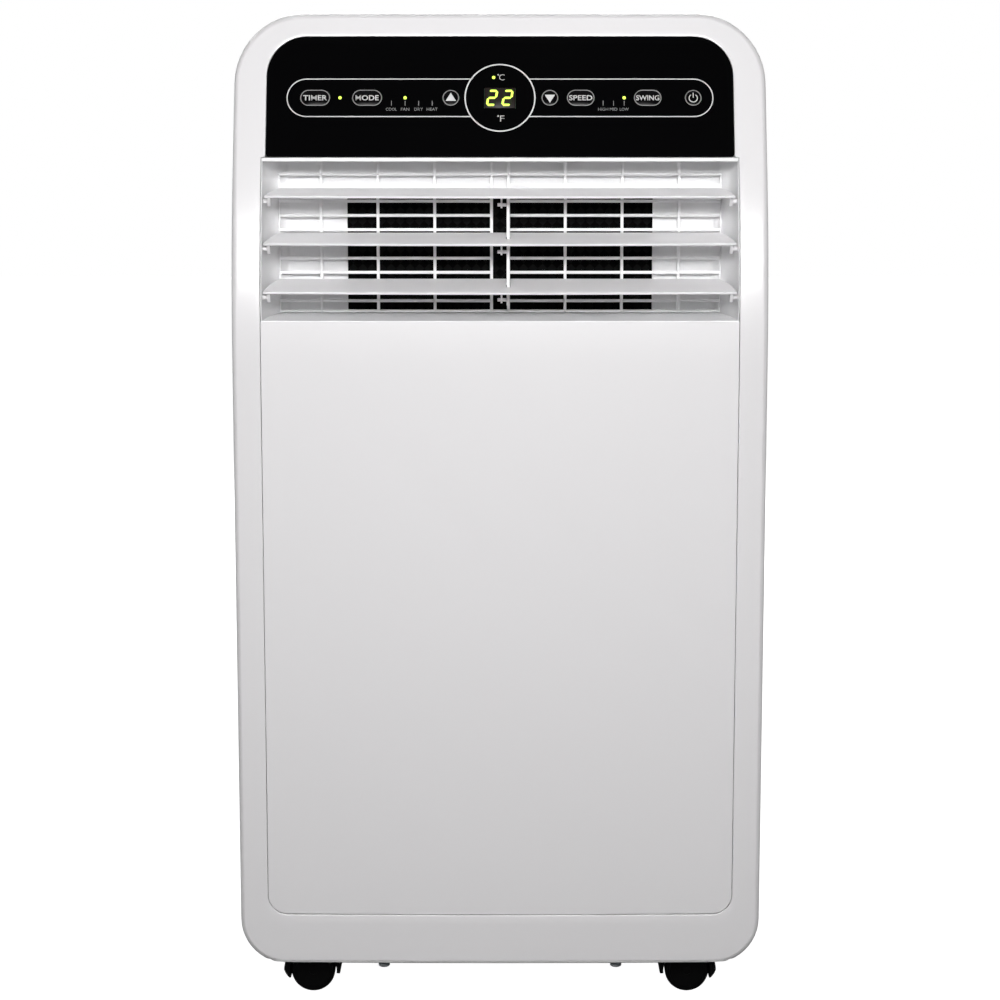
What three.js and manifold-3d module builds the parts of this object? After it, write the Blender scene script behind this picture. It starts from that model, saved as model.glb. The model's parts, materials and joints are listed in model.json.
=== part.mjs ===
// Portable air conditioner on casters: millimetres, +Z up, front face towards -Y.
// The origin is on the floor, under the middle of the whole machine.
import * as THREE from 'three';
import { mergeVertices } from 'three/addons/utils/BufferGeometryUtils.js';
import Module from 'manifold-3d';

const wasm = await Module();
wasm.setup();

// ---------------------------------------------------------------- driving dimensions

const WIDTH = 370;              // across the body
const HEIGHT = 703;             // floor to the top of the body
const BODY_DEPTH = 330;         // front face to back face
const UNDERSIDE = 32;           // floor to the underside of the body
const WALL = 2.6;               // moulded housing walls
const CLEAR = 0.35;             // gap between neighbouring pieces
const TOP_RADIUS = 48;          // upper outer corners, seen from the front
const BOTTOM_RADIUS = 33;       // lower outer corners, seen from the front
const RIM_RADIUS = 5;           // front edge rounding
const BACK_RADIUS = 32;         // upright rear corners
const CROWN = 3;                // how far the front bulges in the middle
const LEAN = 19;                // degrees that the upper front leans back
const BEND_START = 238;         // where the upright front starts to bend, below the top
const BEND_RADIUS = 400;
const BROW_RADIUS = 8;          // front edge of the top
const NAPE_RADIUS = 24;         // rear edge of the top
const HEM_RADIUS = 6;           // lower edges of the front and back
const SEAM_SETBACK = 118;       // front face to the joint between the frame and the rear shell
const TRAY_EDGE = WALL + 0.8;   // height of the base tray's visible rim
const TRAY_TALL = 18;           // height of the whole base tray
const TRAY_WALL = 2.2;

const PANEL_SIDE = 19.8;        // width of the front frame beside the lower panel
const PANEL_FOOT = 37.5;        // height of the front frame below the lower panel
const PANEL_RADIUS = 14;        // lower corners of the lower panel
const VENT_LOW = 210.7;         // top of the body down to the vent's lower lip
const VENT_HIGH = 102;          // top of the body down to the vent's upper lip
const VENT_DEPTH = 62;
const VENT_TAPER = 13;          // how far each curved side wall comes in
const MOUTH_WIDTH = 216;        // air outlet in the back of the vent
const MOUTH_LIP = 4;            // mouth's lower edge above the vent's lower lip
const MOUTH_DROP = 19;          // mouth's upper edge below the vent's upper lip
const CONTROL_SIDE = 22.7;      // width of the front frame beside the control panel
const CONTROL_TOP = 16;         // front frame above the control panel
const CONTROL_RADIUS = 27.5;
const CONTROL_LOW = 99;         // top of the body down to the control panel's lower edge

const SLAT_SETBACK = 52;        // rear edges of the slats behind the front face
const SLAT_TILT = 8;            // degrees
const SLAT_THICK = 1.6;
const SLAT_DROPS = [125.7, 158, 191.1];   // front edges below the top of the body
const PIVOT_IN = 10;            // slat pivots behind the slats' front edges
const PIVOT_DOWN = 3.6;
const LINK_IN = 25;             // link pins behind the slats' front edges
const LINK_DOWN = 6.4;

const STEM_SIDE = 62;           // caster stems in from the sides
const STEM_FRONT = 51;          // caster stems in from the front and the back
const WHEEL_RADIUS = 15.9;
const WHEEL_TRAIL = 13.3;
const CASTER_ROOM = 33.5;       // radius of the wheel wells
const WELL_HEIGHT = 14;

const COLLAR_REACH = 15;        // exhaust collar standing out of the back
const COLLAR_RADIUS = 66;
const COLLAR_BORE = 62;
const EXHAUST_X = 62;
const EXHAUST_Z = 322;
const SHELF_Z = 398;            // drip tray between the cold and the warm compartments

const FRONT = -(BODY_DEPTH + COLLAR_REACH) / 2;
const BACK = FRONT + BODY_DEPTH;
const SEAM = FRONT + SEAM_SETBACK;
const HALF = WIDTH / 2;
const lean = THREE.MathUtils.degToRad(LEAN);

// ---------------------------------------------------------------- solids

function solidOf(geometry) {
  const bare = geometry.index ? geometry.toNonIndexed() : geometry.clone();
  bare.deleteAttribute('normal');
  bare.deleteAttribute('uv');
  const merged = mergeVertices(bare, 1e-4);
  return new wasm.Manifold(new wasm.Mesh({
    numProp: 3,
    vertProperties: new Float32Array(merged.attributes.position.array),
    triVerts: new Uint32Array(merged.index.array),
  }));
}

function geometryOf(solid) {
  const mesh = solid.getMesh();
  const geometry = new THREE.BufferGeometry();
  geometry.setAttribute('position', new THREE.BufferAttribute(mesh.vertProperties, 3));
  geometry.setIndex(new THREE.BufferAttribute(mesh.triVerts, 1));
  geometry.computeVertexNormals();
  return geometry;
}

const join = (...solids) => solids.reduce((sum, next) => sum.add(next));
const cut = (solid, ...tools) => tools.reduce((rest, tool) => rest.subtract(tool), solid);

// The stretch from a to b on one side of the middle: s is 1 or -1.
const spread = (s, a, b) => [Math.min(s * a, s * b), Math.max(s * a, s * b)];

function block(x0, x1, y0, y1, z0, z1) {
  const geometry = new THREE.BoxGeometry(x1 - x0, y1 - y0, z1 - z0);
  geometry.translate((x0 + x1) / 2, (y0 + y1) / 2, (z0 + z1) / 2);
  return solidOf(geometry);
}

// A drum along x, y or z from one end to the other; (a, b) is its centre in the other two axes.
function drum(axis, radius, from, to, a, b, sides = 24) {
  const geometry = new THREE.CylinderGeometry(radius, radius, to - from, sides);
  geometry.translate(0, (from + to) / 2, 0);
  if (axis === 'x') geometry.rotateZ(-Math.PI / 2).translate(0, a, b);
  if (axis === 'y') geometry.translate(a, 0, b);
  if (axis === 'z') geometry.rotateX(Math.PI / 2).translate(a, b, 0);
  return solidOf(geometry);
}

function outline(points) {
  return new THREE.Shape(points.map(([a, b]) => new THREE.Vector2(a, b)));
}

function roundedRect(x0, x1, y0, y1, low, high = low, steps = 6) {
  const corners = [[x1 - low, y0 + low, low, -90], [x1 - high, y1 - high, high, 0],
    [x0 + high, y1 - high, high, 90], [x0 + low, y0 + low, low, 180]];
  return outline(corners.flatMap(([cx, cy, radius, start]) =>
    Array.from({ length: steps + 1 }, (_, i) => {
      const angle = THREE.MathUtils.degToRad(start + 90 * i / steps);
      return [cx + radius * Math.cos(angle), cy + radius * Math.sin(angle)];
    })));
}

function circle(cx, cy, radius, sides = 24) {
  return outline(Array.from({ length: sides }, (_, i) => {
    const angle = 2 * Math.PI * i / sides;
    return [cx + radius * Math.cos(angle), cy + radius * Math.sin(angle)];
  }));
}

function extruded(shape, depth) {
  return new THREE.ExtrudeGeometry(shape, { depth, bevelEnabled: false, curveSegments: 8 });
}

// Outline in x and z, running along y.
function prismY(shape, y0, y1) {
  return solidOf(extruded(shape, y1 - y0).rotateX(Math.PI / 2).translate(0, y1, 0));
}

// Outline in y and z, running along x.
function prismX(shape, x0, x1) {
  const turn = new THREE.Matrix4().makeBasis(new THREE.Vector3(0, 1, 0),
    new THREE.Vector3(0, 0, 1), new THREE.Vector3(1, 0, 0));
  return solidOf(extruded(shape, x1 - x0).applyMatrix4(turn).translate(x0, 0, 0));
}

function prismZ(shape, z0, z1) {
  return solidOf(extruded(shape, z1 - z0).translate(0, 0, z0));
}

function turned(profile, sides = 24) {
  return new THREE.LatheGeometry(profile.map(([r, h]) => new THREE.Vector2(r, h)), sides);
}

function pipe(points, radius, sides = 8, steps = 24) {
  const path = new THREE.CatmullRomCurve3(points.map((p) => new THREE.Vector3(...p)), false, 'centripetal');
  return solidOf(new THREE.ExtrudeGeometry(circle(0, 0, radius, sides),
    { steps, bevelEnabled: false, extrudePath: path }));
}

// ---------------------------------------------------------------- body surface

const bendZ = HEIGHT - BEND_START;
const browZ = HEIGHT - BROW_RADIUS;

function frontSetback(z, inset) {
  const hemZ = UNDERSIDE + HEM_RADIUS;
  const bend = BEND_RADIUS - inset;
  const arcTop = bendZ + bend * Math.sin(lean);
  const arcBack = BEND_RADIUS - bend * Math.cos(lean);
  const brow = BROW_RADIUS - inset;
  const tangentZ = browZ + brow * Math.sin(lean);
  const tangentBack = arcBack + (tangentZ - arcTop) * Math.tan(lean);
  if (z < hemZ) {
    const hem = HEM_RADIUS - inset;
    return HEM_RADIUS - Math.sqrt(Math.max(0, hem * hem - (hemZ - z) ** 2));
  }
  if (z <= bendZ) return inset;
  if (z <= arcTop) return BEND_RADIUS - Math.sqrt(bend * bend - (z - bendZ) ** 2);
  if (z <= tangentZ) return arcBack + (z - arcTop) * Math.tan(lean);
  const centre = tangentBack + brow * Math.cos(lean);
  return centre - Math.sqrt(Math.max(0, brow * brow - (z - browZ) ** 2));
}

function backSetback(z, inset) {
  const hemZ = UNDERSIDE + HEM_RADIUS;
  const napeZ = HEIGHT - NAPE_RADIUS;
  if (z < hemZ) return HEM_RADIUS - Math.sqrt(Math.max(0, (HEM_RADIUS - inset) ** 2 - (hemZ - z) ** 2));
  if (z <= napeZ) return inset;
  return NAPE_RADIUS - Math.sqrt(Math.max(0, (NAPE_RADIUS - inset) ** 2 - (z - napeZ) ** 2));
}

function halfWidth(z, inset) {
  const high = HEIGHT - TOP_RADIUS;
  const low = UNDERSIDE + BOTTOM_RADIUS;
  if (z > high) return HALF - TOP_RADIUS + Math.sqrt(Math.max(0, (TOP_RADIUS - inset) ** 2 - (z - high) ** 2));
  if (z < low) return HALF - BOTTOM_RADIUS + Math.sqrt(Math.max(0, (BOTTOM_RADIUS - inset) ** 2 - (low - z) ** 2));
  return HALF - inset;
}

function bodyLevels(inset) {
  const levels = [];
  const arc = (centre, radius, angles) => angles.forEach((a) =>
    levels.push(centre + radius * Math.sin(THREE.MathUtils.degToRad(a))));
  arc(UNDERSIDE + BOTTOM_RADIUS, BOTTOM_RADIUS - inset, [-90, -70, -48, -24, 0]);
  arc(bendZ, BEND_RADIUS - inset, [0, LEAN * 0.33, LEAN * 0.67, LEAN]);
  arc(HEIGHT - TOP_RADIUS, TOP_RADIUS - inset, [0, 20, 40]);
  arc(browZ, BROW_RADIUS - inset, [LEAN, 42, 66, 90]);
  return levels.sort((a, b) => a - b).filter((z, i, all) => i === 0 || z - all[i - 1] > 0.4);
}

// One level outline of the body: crowned front, small front edges, large rear corners.
function bodySection(z, inset) {
  const w = halfWidth(z, inset);
  const rim = Math.max(RIM_RADIUS - inset, 0.5);
  const heel = BACK_RADIUS - inset;
  const front = FRONT + frontSetback(z, inset);
  const back = BACK - backSetback(z, inset);
  const crowned = (x) => front + CROWN * (x / HALF) ** 2;
  const points = [];
  const arc = (cx, cy, radius, start, steps) => {
    for (let i = 0; i <= steps; i++) {
      const a = THREE.MathUtils.degToRad(start + 90 * i / steps);
      points.push([cx + radius * Math.cos(a), cy + radius * Math.sin(a)]);
    }
  };
  const shoulder = crowned(w - rim) + rim;
  const crownSteps = 4;
  arc(rim - w, shoulder, rim, 180, 2);
  for (let i = 1; i < crownSteps; i++) {
    const x = (w - rim) * (2 * i / crownSteps - 1);
    points.push([x, crowned(x)]);
  }
  arc(w - rim, shoulder, rim, 270, 2);
  arc(w - heel, back - heel, heel, 0, 4);
  arc(heel - w, back - heel, heel, 90, 4);
  return points;
}

function bodyLoft(inset) {
  const levels = bodyLevels(inset);
  const sections = levels.map((z) => bodySection(z, inset));
  const count = sections[0].length;
  const positions = sections.flatMap((points, level) => points.flatMap(([x, y]) => [x, y, levels[level]]));
  const faces = [];
  for (let level = 0; level < levels.length - 1; level++) {
    for (let i = 0; i < count; i++) {
      const a = level * count + i;
      const b = level * count + (i + 1) % count;
      faces.push(a, b, b + count, a, b + count, a + count);
    }
  }
  const cap = (level, flip) => {
    const ring = sections[level].map(([x, y]) => new THREE.Vector2(x, y));
    THREE.ShapeUtils.triangulateShape(ring, []).forEach(([a, b, c]) => {
      const base = level * count;
      faces.push(base + a, base + (flip ? c : b), base + (flip ? b : c));
    });
  };
  cap(0, true);
  cap(levels.length - 1, false);
  const geometry = new THREE.BufferGeometry();
  geometry.setAttribute('position', new THREE.Float32BufferAttribute(positions, 3));
  geometry.setIndex(faces);
  return solidOf(geometry);
}

const body = bodyLoft(0);
const hollow = bodyLoft(WALL);
const housing = cut(body, hollow);
const shellFoot = UNDERSIDE + TRAY_EDGE + CLEAR;
const trayFloor = UNDERSIDE + WALL + CLEAR + TRAY_WALL;

// ---------------------------------------------------------------- materials and nodes

const group = new THREE.Group();

const FINISH = {
  gloss_white: [0xf1f1f2, 0.25, 0], vent_white: [0xf4f3f5, 0.4, 0], satin_white: [0xe6e6e4, 0.5, 0],
  black_gloss: [0x060607, 0.12, 0], black_plastic: [0x141415, 0.5, 0], smoked: [0x15171a, 0.1, 0],
  green_board: [0x1d5b36, 0.6, 0], copper: [0xb46a3c, 0.3, 1], fin: [0xc2c6c9, 0.4, 1],
  steel: [0x9a9ea2, 0.35, 1], black_steel: [0x1c1d1f, 0.45, 0.6], grey_plastic: [0x6f7276, 0.6, 0],
  rubber: [0x1a1a1a, 0.9, 0], foam: [0x2a2b2d, 0.95, 0],
};

function add(name, solid, finish) {
  const [color, roughness, metalness] = FINISH[finish];
  const material = new THREE.MeshStandardMaterial({ color, roughness, metalness });
  const mesh = new THREE.Mesh(geometryOf(solid), material);
  mesh.name = name;
  group.add(mesh);
}

// ---------------------------------------------------------------- housing

const panelHalf = HALF - PANEL_SIDE;
const panelFoot = UNDERSIDE + PANEL_FOOT;
const ventLow = HEIGHT - VENT_LOW;
const ventHigh = HEIGHT - VENT_HIGH;
const controlHalf = HALF - CONTROL_SIDE;
const controlLow = HEIGHT - CONTROL_LOW;
const controlTop = HEIGHT - CONTROL_TOP;
const trayLow = ventLow - 2.2;
const trayHigh = controlLow - CLEAR;
const SHARP = 0.6;              // smallest outline corner
const PANEL_THICK = 3;

function panelOutline(gap, top) {
  return roundedRect(gap - panelHalf, panelHalf - gap, panelFoot + gap, top, PANEL_RADIUS - gap, SHARP);
}

function controlOutline(gap) {
  return roundedRect(gap - controlHalf, controlHalf - gap, controlLow + gap, controlTop - gap,
    SHARP + 1.5, CONTROL_RADIUS - gap, 8);
}

function frontFrame() {
  const shell = cut(housing, block(-HALF - 1, HALF + 1, SEAM, BACK + 1, 0, HEIGHT + 1),
    block(-HALF - 1, HALF + 1, FRONT - 1, BACK + 1, 0, shellFoot));
  return cut(shell, prismY(panelOutline(0, controlLow), FRONT - 1, SEAM - 20),
    prismY(controlOutline(0), FRONT - 1, SEAM - 20));
}

function frontPanel() {
  const plate = cut(body, bodyLoft(PANEL_THICK));
  return plate.intersect(prismY(panelOutline(CLEAR, ventLow - CLEAR), FRONT - 1, SEAM - 60));
}

// Half width of the vent at a depth behind the front: the side walls curve in towards the back.
function ventHalf(depth) {
  const side = panelHalf - 1.1;
  const inward = Math.sqrt(Math.max(0, 1 - (Math.max(depth, 0) / VENT_DEPTH) ** 2));
  return side - VENT_TAPER * (1 - inward);
}

function ventPlan(wall) {
  const right = [[ventHalf(0) + wall, FRONT - 10]];
  const steps = 10;
  for (let i = 0; i <= steps; i++) {
    const depth = VENT_DEPTH * Math.sin(Math.PI / 2 * i / steps);
    right.push([ventHalf(depth) + wall, FRONT + depth + (i === steps ? wall : 0)]);
  }
  return outline([...right, ...right.map(([x, y]) => [-x, y]).reverse()]);
}

const floorRise = 2.2;
const ceilingFall = 9;
const ventBack = FRONT + VENT_DEPTH;
const mouthLow = ventLow + MOUTH_LIP;
const mouthHigh = ventHigh - MOUTH_DROP;

const slatPlaces = SLAT_DROPS.map((drop) => {
  const z = HEIGHT - drop;
  const setback = frontSetback(z, 0);
  return { z, setback, front: FRONT + setback };
});
const LINK_X = 3.8;
const LINK_THICK = 3.8;
const PIVOT_BOSS = 3.4;
const PIVOT_HOLE = 1.9;
const PIN = 1.5;
const LINK_SLOT = [-6, 10.5];   // slots that let the link through the lower slats, from its pins
const BOSS_REACH = 3.4;         // slat bosses outside the vent's side walls
const DRIVE_PIN = 8;            // middle slat's pin, into the swing motor

function ventSurround() {
  const outer = prismZ(ventPlan(2.4), trayLow, trayHigh).intersect(body)
    .intersect(block(CLEAR - panelHalf, panelHalf - CLEAR, FRONT - 1, SEAM, trayLow, trayHigh));
  const panelTop = cut(block(-HALF, HALF, FRONT - 1, SEAM, trayLow - 1, ventLow), bodyLoft(PANEL_THICK + CLEAR));
  const side = outline([[FRONT - 10, ventLow], [ventBack, ventLow + floorRise],
    [ventBack, ventHigh - ceilingFall], [FRONT - 10, ventHigh]]);
  const cavity = prismZ(ventPlan(0), trayLow - 1, trayHigh + 1).intersect(prismX(side, -HALF, HALF));
  const mouth = block(-MOUTH_WIDTH / 2, MOUTH_WIDTH / 2, ventBack - 1, ventBack + 10, mouthLow, mouthHigh);
  const pivots = [-1, 1].flatMap((s) => slatPlaces.map(({ front, z }) => [s, front + PIVOT_IN, z - PIVOT_DOWN]));
  const bosses = pivots.map(([s, y, z]) =>
    drum('x', PIVOT_BOSS, ...spread(s, panelHalf - 0.8, panelHalf + BOSS_REACH), y, z, 12));
  const holes = pivots.map(([s, y, z]) =>
    drum('x', PIVOT_HOLE, ...spread(s, panelHalf - 6, panelHalf + 5), y, z, 12));
  return cut(join(cut(outer, cavity, mouth), ...bosses), ...holes, panelTop);
}

const BAR = 2.1;
const GRILLE_FRONT = 54.5;
const GRILLE_THICK = 2.5;
const ROW_PITCH = 10;
const COLUMN_PITCH = 40;
const CENTRE_BAY = 6;

function outletGrille() {
  const half = ventHalf(GRILLE_FRONT + GRILLE_THICK) - 0.5;
  const low = ventLow + floorRise + 0.4;
  const high = ventHigh - ceilingFall + 0.4;
  const front = FRONT + GRILLE_FRONT;
  const back = front + GRILLE_THICK;
  const window = (x0, x1, z0, z1) => block(x0, x1, front - 1, back + 1, z0, z1);
  const columns = [0, 1, 2, 3].map((i) => CENTRE_BAY + COLUMN_PITCH * i);
  const edges = [...columns, half - 1];
  const topRow = mouthHigh + BAR;
  const lintel = topRow - BAR / 2;
  const rows = Array.from({ length: 9 }, (_, i) => lintel - ROW_PITCH * i);
  const gaps = rows.slice(1).map((z, i) => [z + BAR / 2, rows[i] - BAR / 2]);
  gaps.push([topRow + BAR / 2, high - 1.5], [low + 1.5, rows.at(-1) - BAR / 2]);
  const windows = gaps.flatMap(([z0, z1]) => edges.slice(1).flatMap((edge, i) => {
    const x0 = edges[i] + BAR / 2;
    const x1 = edge - BAR / 2;
    return [window(x0, x1, z0, z1), window(-x1, -x0, z0, z1)];
  }));
  const bay = CENTRE_BAY - BAR / 2;
  windows.push(window(-bay, bay, topRow + BAR / 2, high - 1.5), window(-bay, bay, low + 1.5, topRow - BAR));
  return cut(block(-half, half, front, back, low, high), ...windows);
}

function rearShell() {
  const shell = cut(housing, block(-HALF - 1, HALF + 1, FRONT - 1, SEAM + CLEAR, 0, HEIGHT + 1),
    block(-HALF - 1, HALF + 1, FRONT - 1, BACK + 1, 0, shellFoot));
  const through = (shape) => prismY(shape, BACK - WALL - 2, BACK + 1);
  const openings = [through(intakeOutline(upperIntake, 0)), through(intakeOutline(lowerIntake, 0)),
    through(circle(EXHAUST_X, EXHAUST_Z, COLLAR_RADIUS + CLEAR + 0.6, 24)),
    ...drains.map(({ x, z }) => through(circle(x, z, PLUG_RADIUS + 0.5, 16))),
    through(circle(GLAND_X, GLAND_Z, GLAND_RADIUS + CLEAR, 16))];
  const side = (s, a, b, y0, y1, z0, z1) => block(...spread(s, a, b), y0, y1, z0, z1);
  const depth = HALF - GRIP_DEPTH;
  const grip = { y0: GRIP_Y - GRIP_LONG / 2, y1: GRIP_Y + GRIP_LONG / 2, z0: GRIP_Z, z1: GRIP_Z + GRIP_TALL };
  const cup = (s) => side(s, depth, HALF - 0.5, grip.y0 - 2, grip.y1 + 2, grip.z0 - 2, grip.z1 + 14);
  const room = (s) => join(side(s, depth + 2, HALF + 1, grip.y0, grip.y1, grip.z0, grip.z1),
    side(s, depth + 2, HALF - WALL - 1.5, grip.y0, grip.y1, grip.z0, grip.z1 + 12));
  return cut(join(cut(shell, ...openings), cup(1), cup(-1)), room(1), room(-1));
}

function baseTray() {
  const rim = body.intersect(block(-HALF, HALF, FRONT, BACK, UNDERSIDE - 1, UNDERSIDE + TRAY_EDGE));
  const upstand = cut(bodyLoft(WALL + CLEAR), bodyLoft(WALL + CLEAR + TRAY_WALL))
    .intersect(block(-HALF, HALF, FRONT, BACK, UNDERSIDE, UNDERSIDE + TRAY_TALL));
  const inside = bodyLoft(WALL + CLEAR + 0.5);
  const wells = casterPlaces.map(({ x, y }) =>
    join(drum('z', CASTER_ROOM + 2.4, UNDERSIDE, UNDERSIDE + WELL_HEIGHT + 2.6, x, y, 20),
      drum('z', 9, UNDERSIDE + WELL_HEIGHT, UNDERSIDE + WELL_HEIGHT + 7, x, y, 10)).intersect(inside));
  const rooms = casterPlaces.flatMap(({ x, y }) => [
    drum('z', CASTER_ROOM, UNDERSIDE - 2, UNDERSIDE + WELL_HEIGHT, x, y, 20),
    drum('z', STEM_RADIUS + 0.35, UNDERSIDE, UNDERSIDE + 60, x, y, 10)]);
  const drainHole = drum('y', PLUG_RADIUS + 0.5, BACK - 16, BACK + 1, drains[1].x, drains[1].z, 16);
  return cut(join(rim, upstand, ...wells), ...rooms, drainHole);
}

// ---------------------------------------------------------------- casters

const STEM_RADIUS = 4;
const HOOD_GAP = 1.2;
const HOOD_THICK = 2.6;
const TREAD = 11;               // width of one wheel
const WHEEL_SPACE = 7;          // between the two wheels of a caster
const AXLE_RADIUS = 2.5;

const casterPlaces = [['fl', -1, -1], ['fr', 1, -1], ['rl', -1, 1], ['rr', 1, 1]].map(([name, sx, sy]) => ({
  name, out: sx, x: sx * (HALF - STEM_SIDE), y: sy < 0 ? FRONT + STEM_FRONT : BACK - STEM_FRONT,
}));

function casterFork({ out, x, y }) {
  const axleX = x + out * WHEEL_TRAIL;
  const inner = WHEEL_RADIUS + HOOD_GAP;
  const outerRadius = inner + HOOD_THICK;
  const breadth = WHEEL_SPACE / 2 + TREAD;
  const fan = (radius, from, to) => Array.from({ length: 9 }, (_, i) => {
    const a = THREE.MathUtils.degToRad(from + (to - from) * i / 8);
    return [axleX + out * radius * Math.cos(a), WHEEL_RADIUS + radius * Math.sin(a)];
  });
  const hood = prismY(outline([...fan(outerRadius, -18, 190), ...fan(inner, 190, -18)]), y - breadth, y + breadth);
  const web = prismY(outline([...fan(inner + 0.5, -10, 150), [axleX - out * 15, 12], [axleX + out * 2, 10]]),
    y - 2, y + 2);
  const axleHole = drum('y', AXLE_RADIUS + 0.35, y - breadth, y + breadth, axleX, WHEEL_RADIUS, 10);
  const neck = drum('z', 7, WHEEL_RADIUS + 13, UNDERSIDE + WELL_HEIGHT - 0.6, x, y, 12);
  const lug = prismY(outline([[x - out * 6, WHEEL_RADIUS - 3], [x + out * 2, WHEEL_RADIUS - 3],
    [x + out * 2, WHEEL_RADIUS + 16], [x - out * 6, WHEEL_RADIUS + 16]]), y - 2.6, y + 2.6);
  const stem = drum('z', STEM_RADIUS, UNDERSIDE + 6, UNDERSIDE + WELL_HEIGHT + 8, x, y, 10);
  const wheelRoom = [-1, 1].map((s) => {
    const from = y + s * (WHEEL_SPACE / 2 - 0.5);
    const to = y + s * (breadth + 1);
    return drum('y', inner, Math.min(from, to), Math.max(from, to), axleX, WHEEL_RADIUS, 16);
  });
  const collar = drum('z', 6.5, UNDERSIDE + WELL_HEIGHT + 7.3, UNDERSIDE + WELL_HEIGHT + 9.3, x, y, 10);
  return join(cut(join(hood, web, neck, lug), ...wheelRoom, axleHole), stem, collar);
}

function casterWheels({ out, x, y }) {
  const axleX = x + out * WHEEL_TRAIL;
  const profile = [[0, 0], [WHEEL_RADIUS - 2, 0], [WHEEL_RADIUS, 2], [WHEEL_RADIUS, TREAD - 2],
    [WHEEL_RADIUS - 2, TREAD], [0, TREAD]];
  const wheels = [-1, 1].map((s) => {
    const wheel = turned(profile, 16);
    if (s < 0) wheel.rotateX(Math.PI);
    return solidOf(wheel.translate(axleX, y + s * WHEEL_SPACE / 2, WHEEL_RADIUS));
  });
  return join(...wheels, drum('y', AXLE_RADIUS, y - WHEEL_SPACE, y + WHEEL_SPACE, axleX, WHEEL_RADIUS, 10));
}

// ---------------------------------------------------------------- vent slats

function slat({ z, setback, front }) {
  const tilt = THREE.MathUtils.degToRad(SLAT_TILT);
  const reach = (SLAT_SETBACK - setback) / Math.cos(tilt);
  const right = [];
  const steps = 8;
  for (let i = 0; i <= steps; i++) {
    const depth = reach * Math.sin(Math.PI / 2 * i / steps);
    const round = i === steps ? 3 : 0;
    right.push([ventHalf(setback + depth + 3) - 1 - round, depth]);
  }
  const rim = Array.from({ length: 9 }, (_, i) => {
    const x = right[0][0] * (i / 4 - 1);
    return [x, 0.6 + CROWN * (x / HALF) ** 2];
  });
  const plan = outline([...rim, ...right.slice(1), ...right.slice(1).map(([x, y]) => [-x, y]).reverse()]);
  const blade = solidOf(extruded(plan, SLAT_THICK).translate(0, 0, -SLAT_THICK)
    .rotateX(tilt).translate(0, front, z));
  const ear = outline([[4.5, -0.9], [18, 1.2], [PIVOT_IN + 3, -7], [PIVOT_IN - 2.2, -7]]
    .map(([y, h]) => [front + y, z + h]));
  const ears = [-1, 1].map((s) => prismX(ear, ...spread(s, panelHalf - 6.6, panelHalf - 4.4)));
  const driven = z === slatPlaces[1].z;
  const pins = [-1, 1].map((s) => drum('x', PIN,
    ...spread(s, panelHalf - 6, panelHalf + (driven && s > 0 ? DRIVE_PIN : BOSS_REACH - 0.8)),
    front + PIVOT_IN, z - PIVOT_DOWN, 10));
  const tab = prismX(outline([[LINK_IN - 4, 1.8], [LINK_IN + 4, 2.8], [LINK_IN + 2.4, -LINK_DOWN - 2.4],
    [LINK_IN - 2.4, -LINK_DOWN - 2.4]].map(([y, h]) => [front + y, z + h])), -1.2, 1.2);
  const linkPin = drum('x', PIN, -4, LINK_X + LINK_THICK + 1.2, front + LINK_IN, z - LINK_DOWN, 12);
  const linkY = front + LINK_IN;
  const slot = block(LINK_X - 0.9, LINK_X + LINK_THICK + 0.9, linkY + LINK_SLOT[0], linkY + LINK_SLOT[1],
    z - 4, z + 12);
  return join(z > slatPlaces[1].z ? blade : cut(blade, slot), ...ears, ...pins, tab, linkPin);
}

const linkPins = slatPlaces.map(({ front, z }) => [front + LINK_IN, z - LINK_DOWN]);

function louvreLink() {
  const half = 2.9;
  const end = 4;
  const [first, , last] = linkPins;
  const path = [[first[0], first[1] + end], ...linkPins, [last[0], last[1] - end]];
  const strip = outline([...path.map(([y, z]) => [y - half, z]), ...path.map(([y, z]) => [y + half, z]).reverse()]);
  const holes = linkPins.map(([y, z]) => drum('x', PIN + 0.4, LINK_X - 1, LINK_X + LINK_THICK + 1, y, z, 12));
  return cut(prismX(strip, LINK_X, LINK_X + LINK_THICK), ...holes);
}

// A flat geared motor beside the vent, its shaft off its middle, which turns the middle slat's pin.
const SWING_CAN = { radius: 11.5, offset: 8.5 };

function swingMotor() {
  const start = panelHalf + BOSS_REACH + 0.5;
  const end = HALF - WALL - 1.2;
  const pivotY = slatPlaces[1].front + PIVOT_IN;
  const z = slatPlaces[1].z - PIVOT_DOWN;
  const y = pivotY + SWING_CAN.offset;
  const lug = SWING_CAN.radius + 5.5;
  return cut(join(drum('x', SWING_CAN.radius, start, end, y, z, 24),
    block(start, start + 1.5, y - 3.5, y + 3.5, z - lug, z + lug)),
    drum('x', PIN + 0.6, start - 1, start + DRIVE_PIN, pivotY, z, 12));
}

// ---------------------------------------------------------------- control panel

const slopeZ = bendZ + BEND_RADIUS * Math.sin(lean);
const slopeY = FRONT + BEND_RADIUS * (1 - Math.cos(lean));
const slope = new THREE.Matrix4().makeRotationX(Math.PI / 2 - lean).setPosition(0, slopeY, slopeZ);
const KEY_ROW = 51.6;           // keys up the slope from where the front has bent
const KEY_TALL = 12.4;
const KEY_ROUND = 6.1;
const KEY_TRAVEL = 0.5;
const OVERLAY_SINK = 0.4;
const OVERLAY_THICK = 3;
const BOARD_DEPTH = 11;
const KEY_STEM = -OVERLAY_SINK - OVERLAY_THICK - CROWN - 0.6;    // how far back the key stems reach
const keys = [
  { name: 'key_timer', x: -128.3, long: 21.4 }, { name: 'key_mode', x: -92.2, long: 21.4 },
  { name: 'key_up', x: -34.1, long: 0 }, { name: 'key_down', x: 34.6, long: 0 },
  { name: 'key_speed', x: 56, long: 19.8 }, { name: 'key_swing', x: 102.5, long: 19.8 },
  { name: 'key_power', x: 134.1, long: 0 },
];

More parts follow.
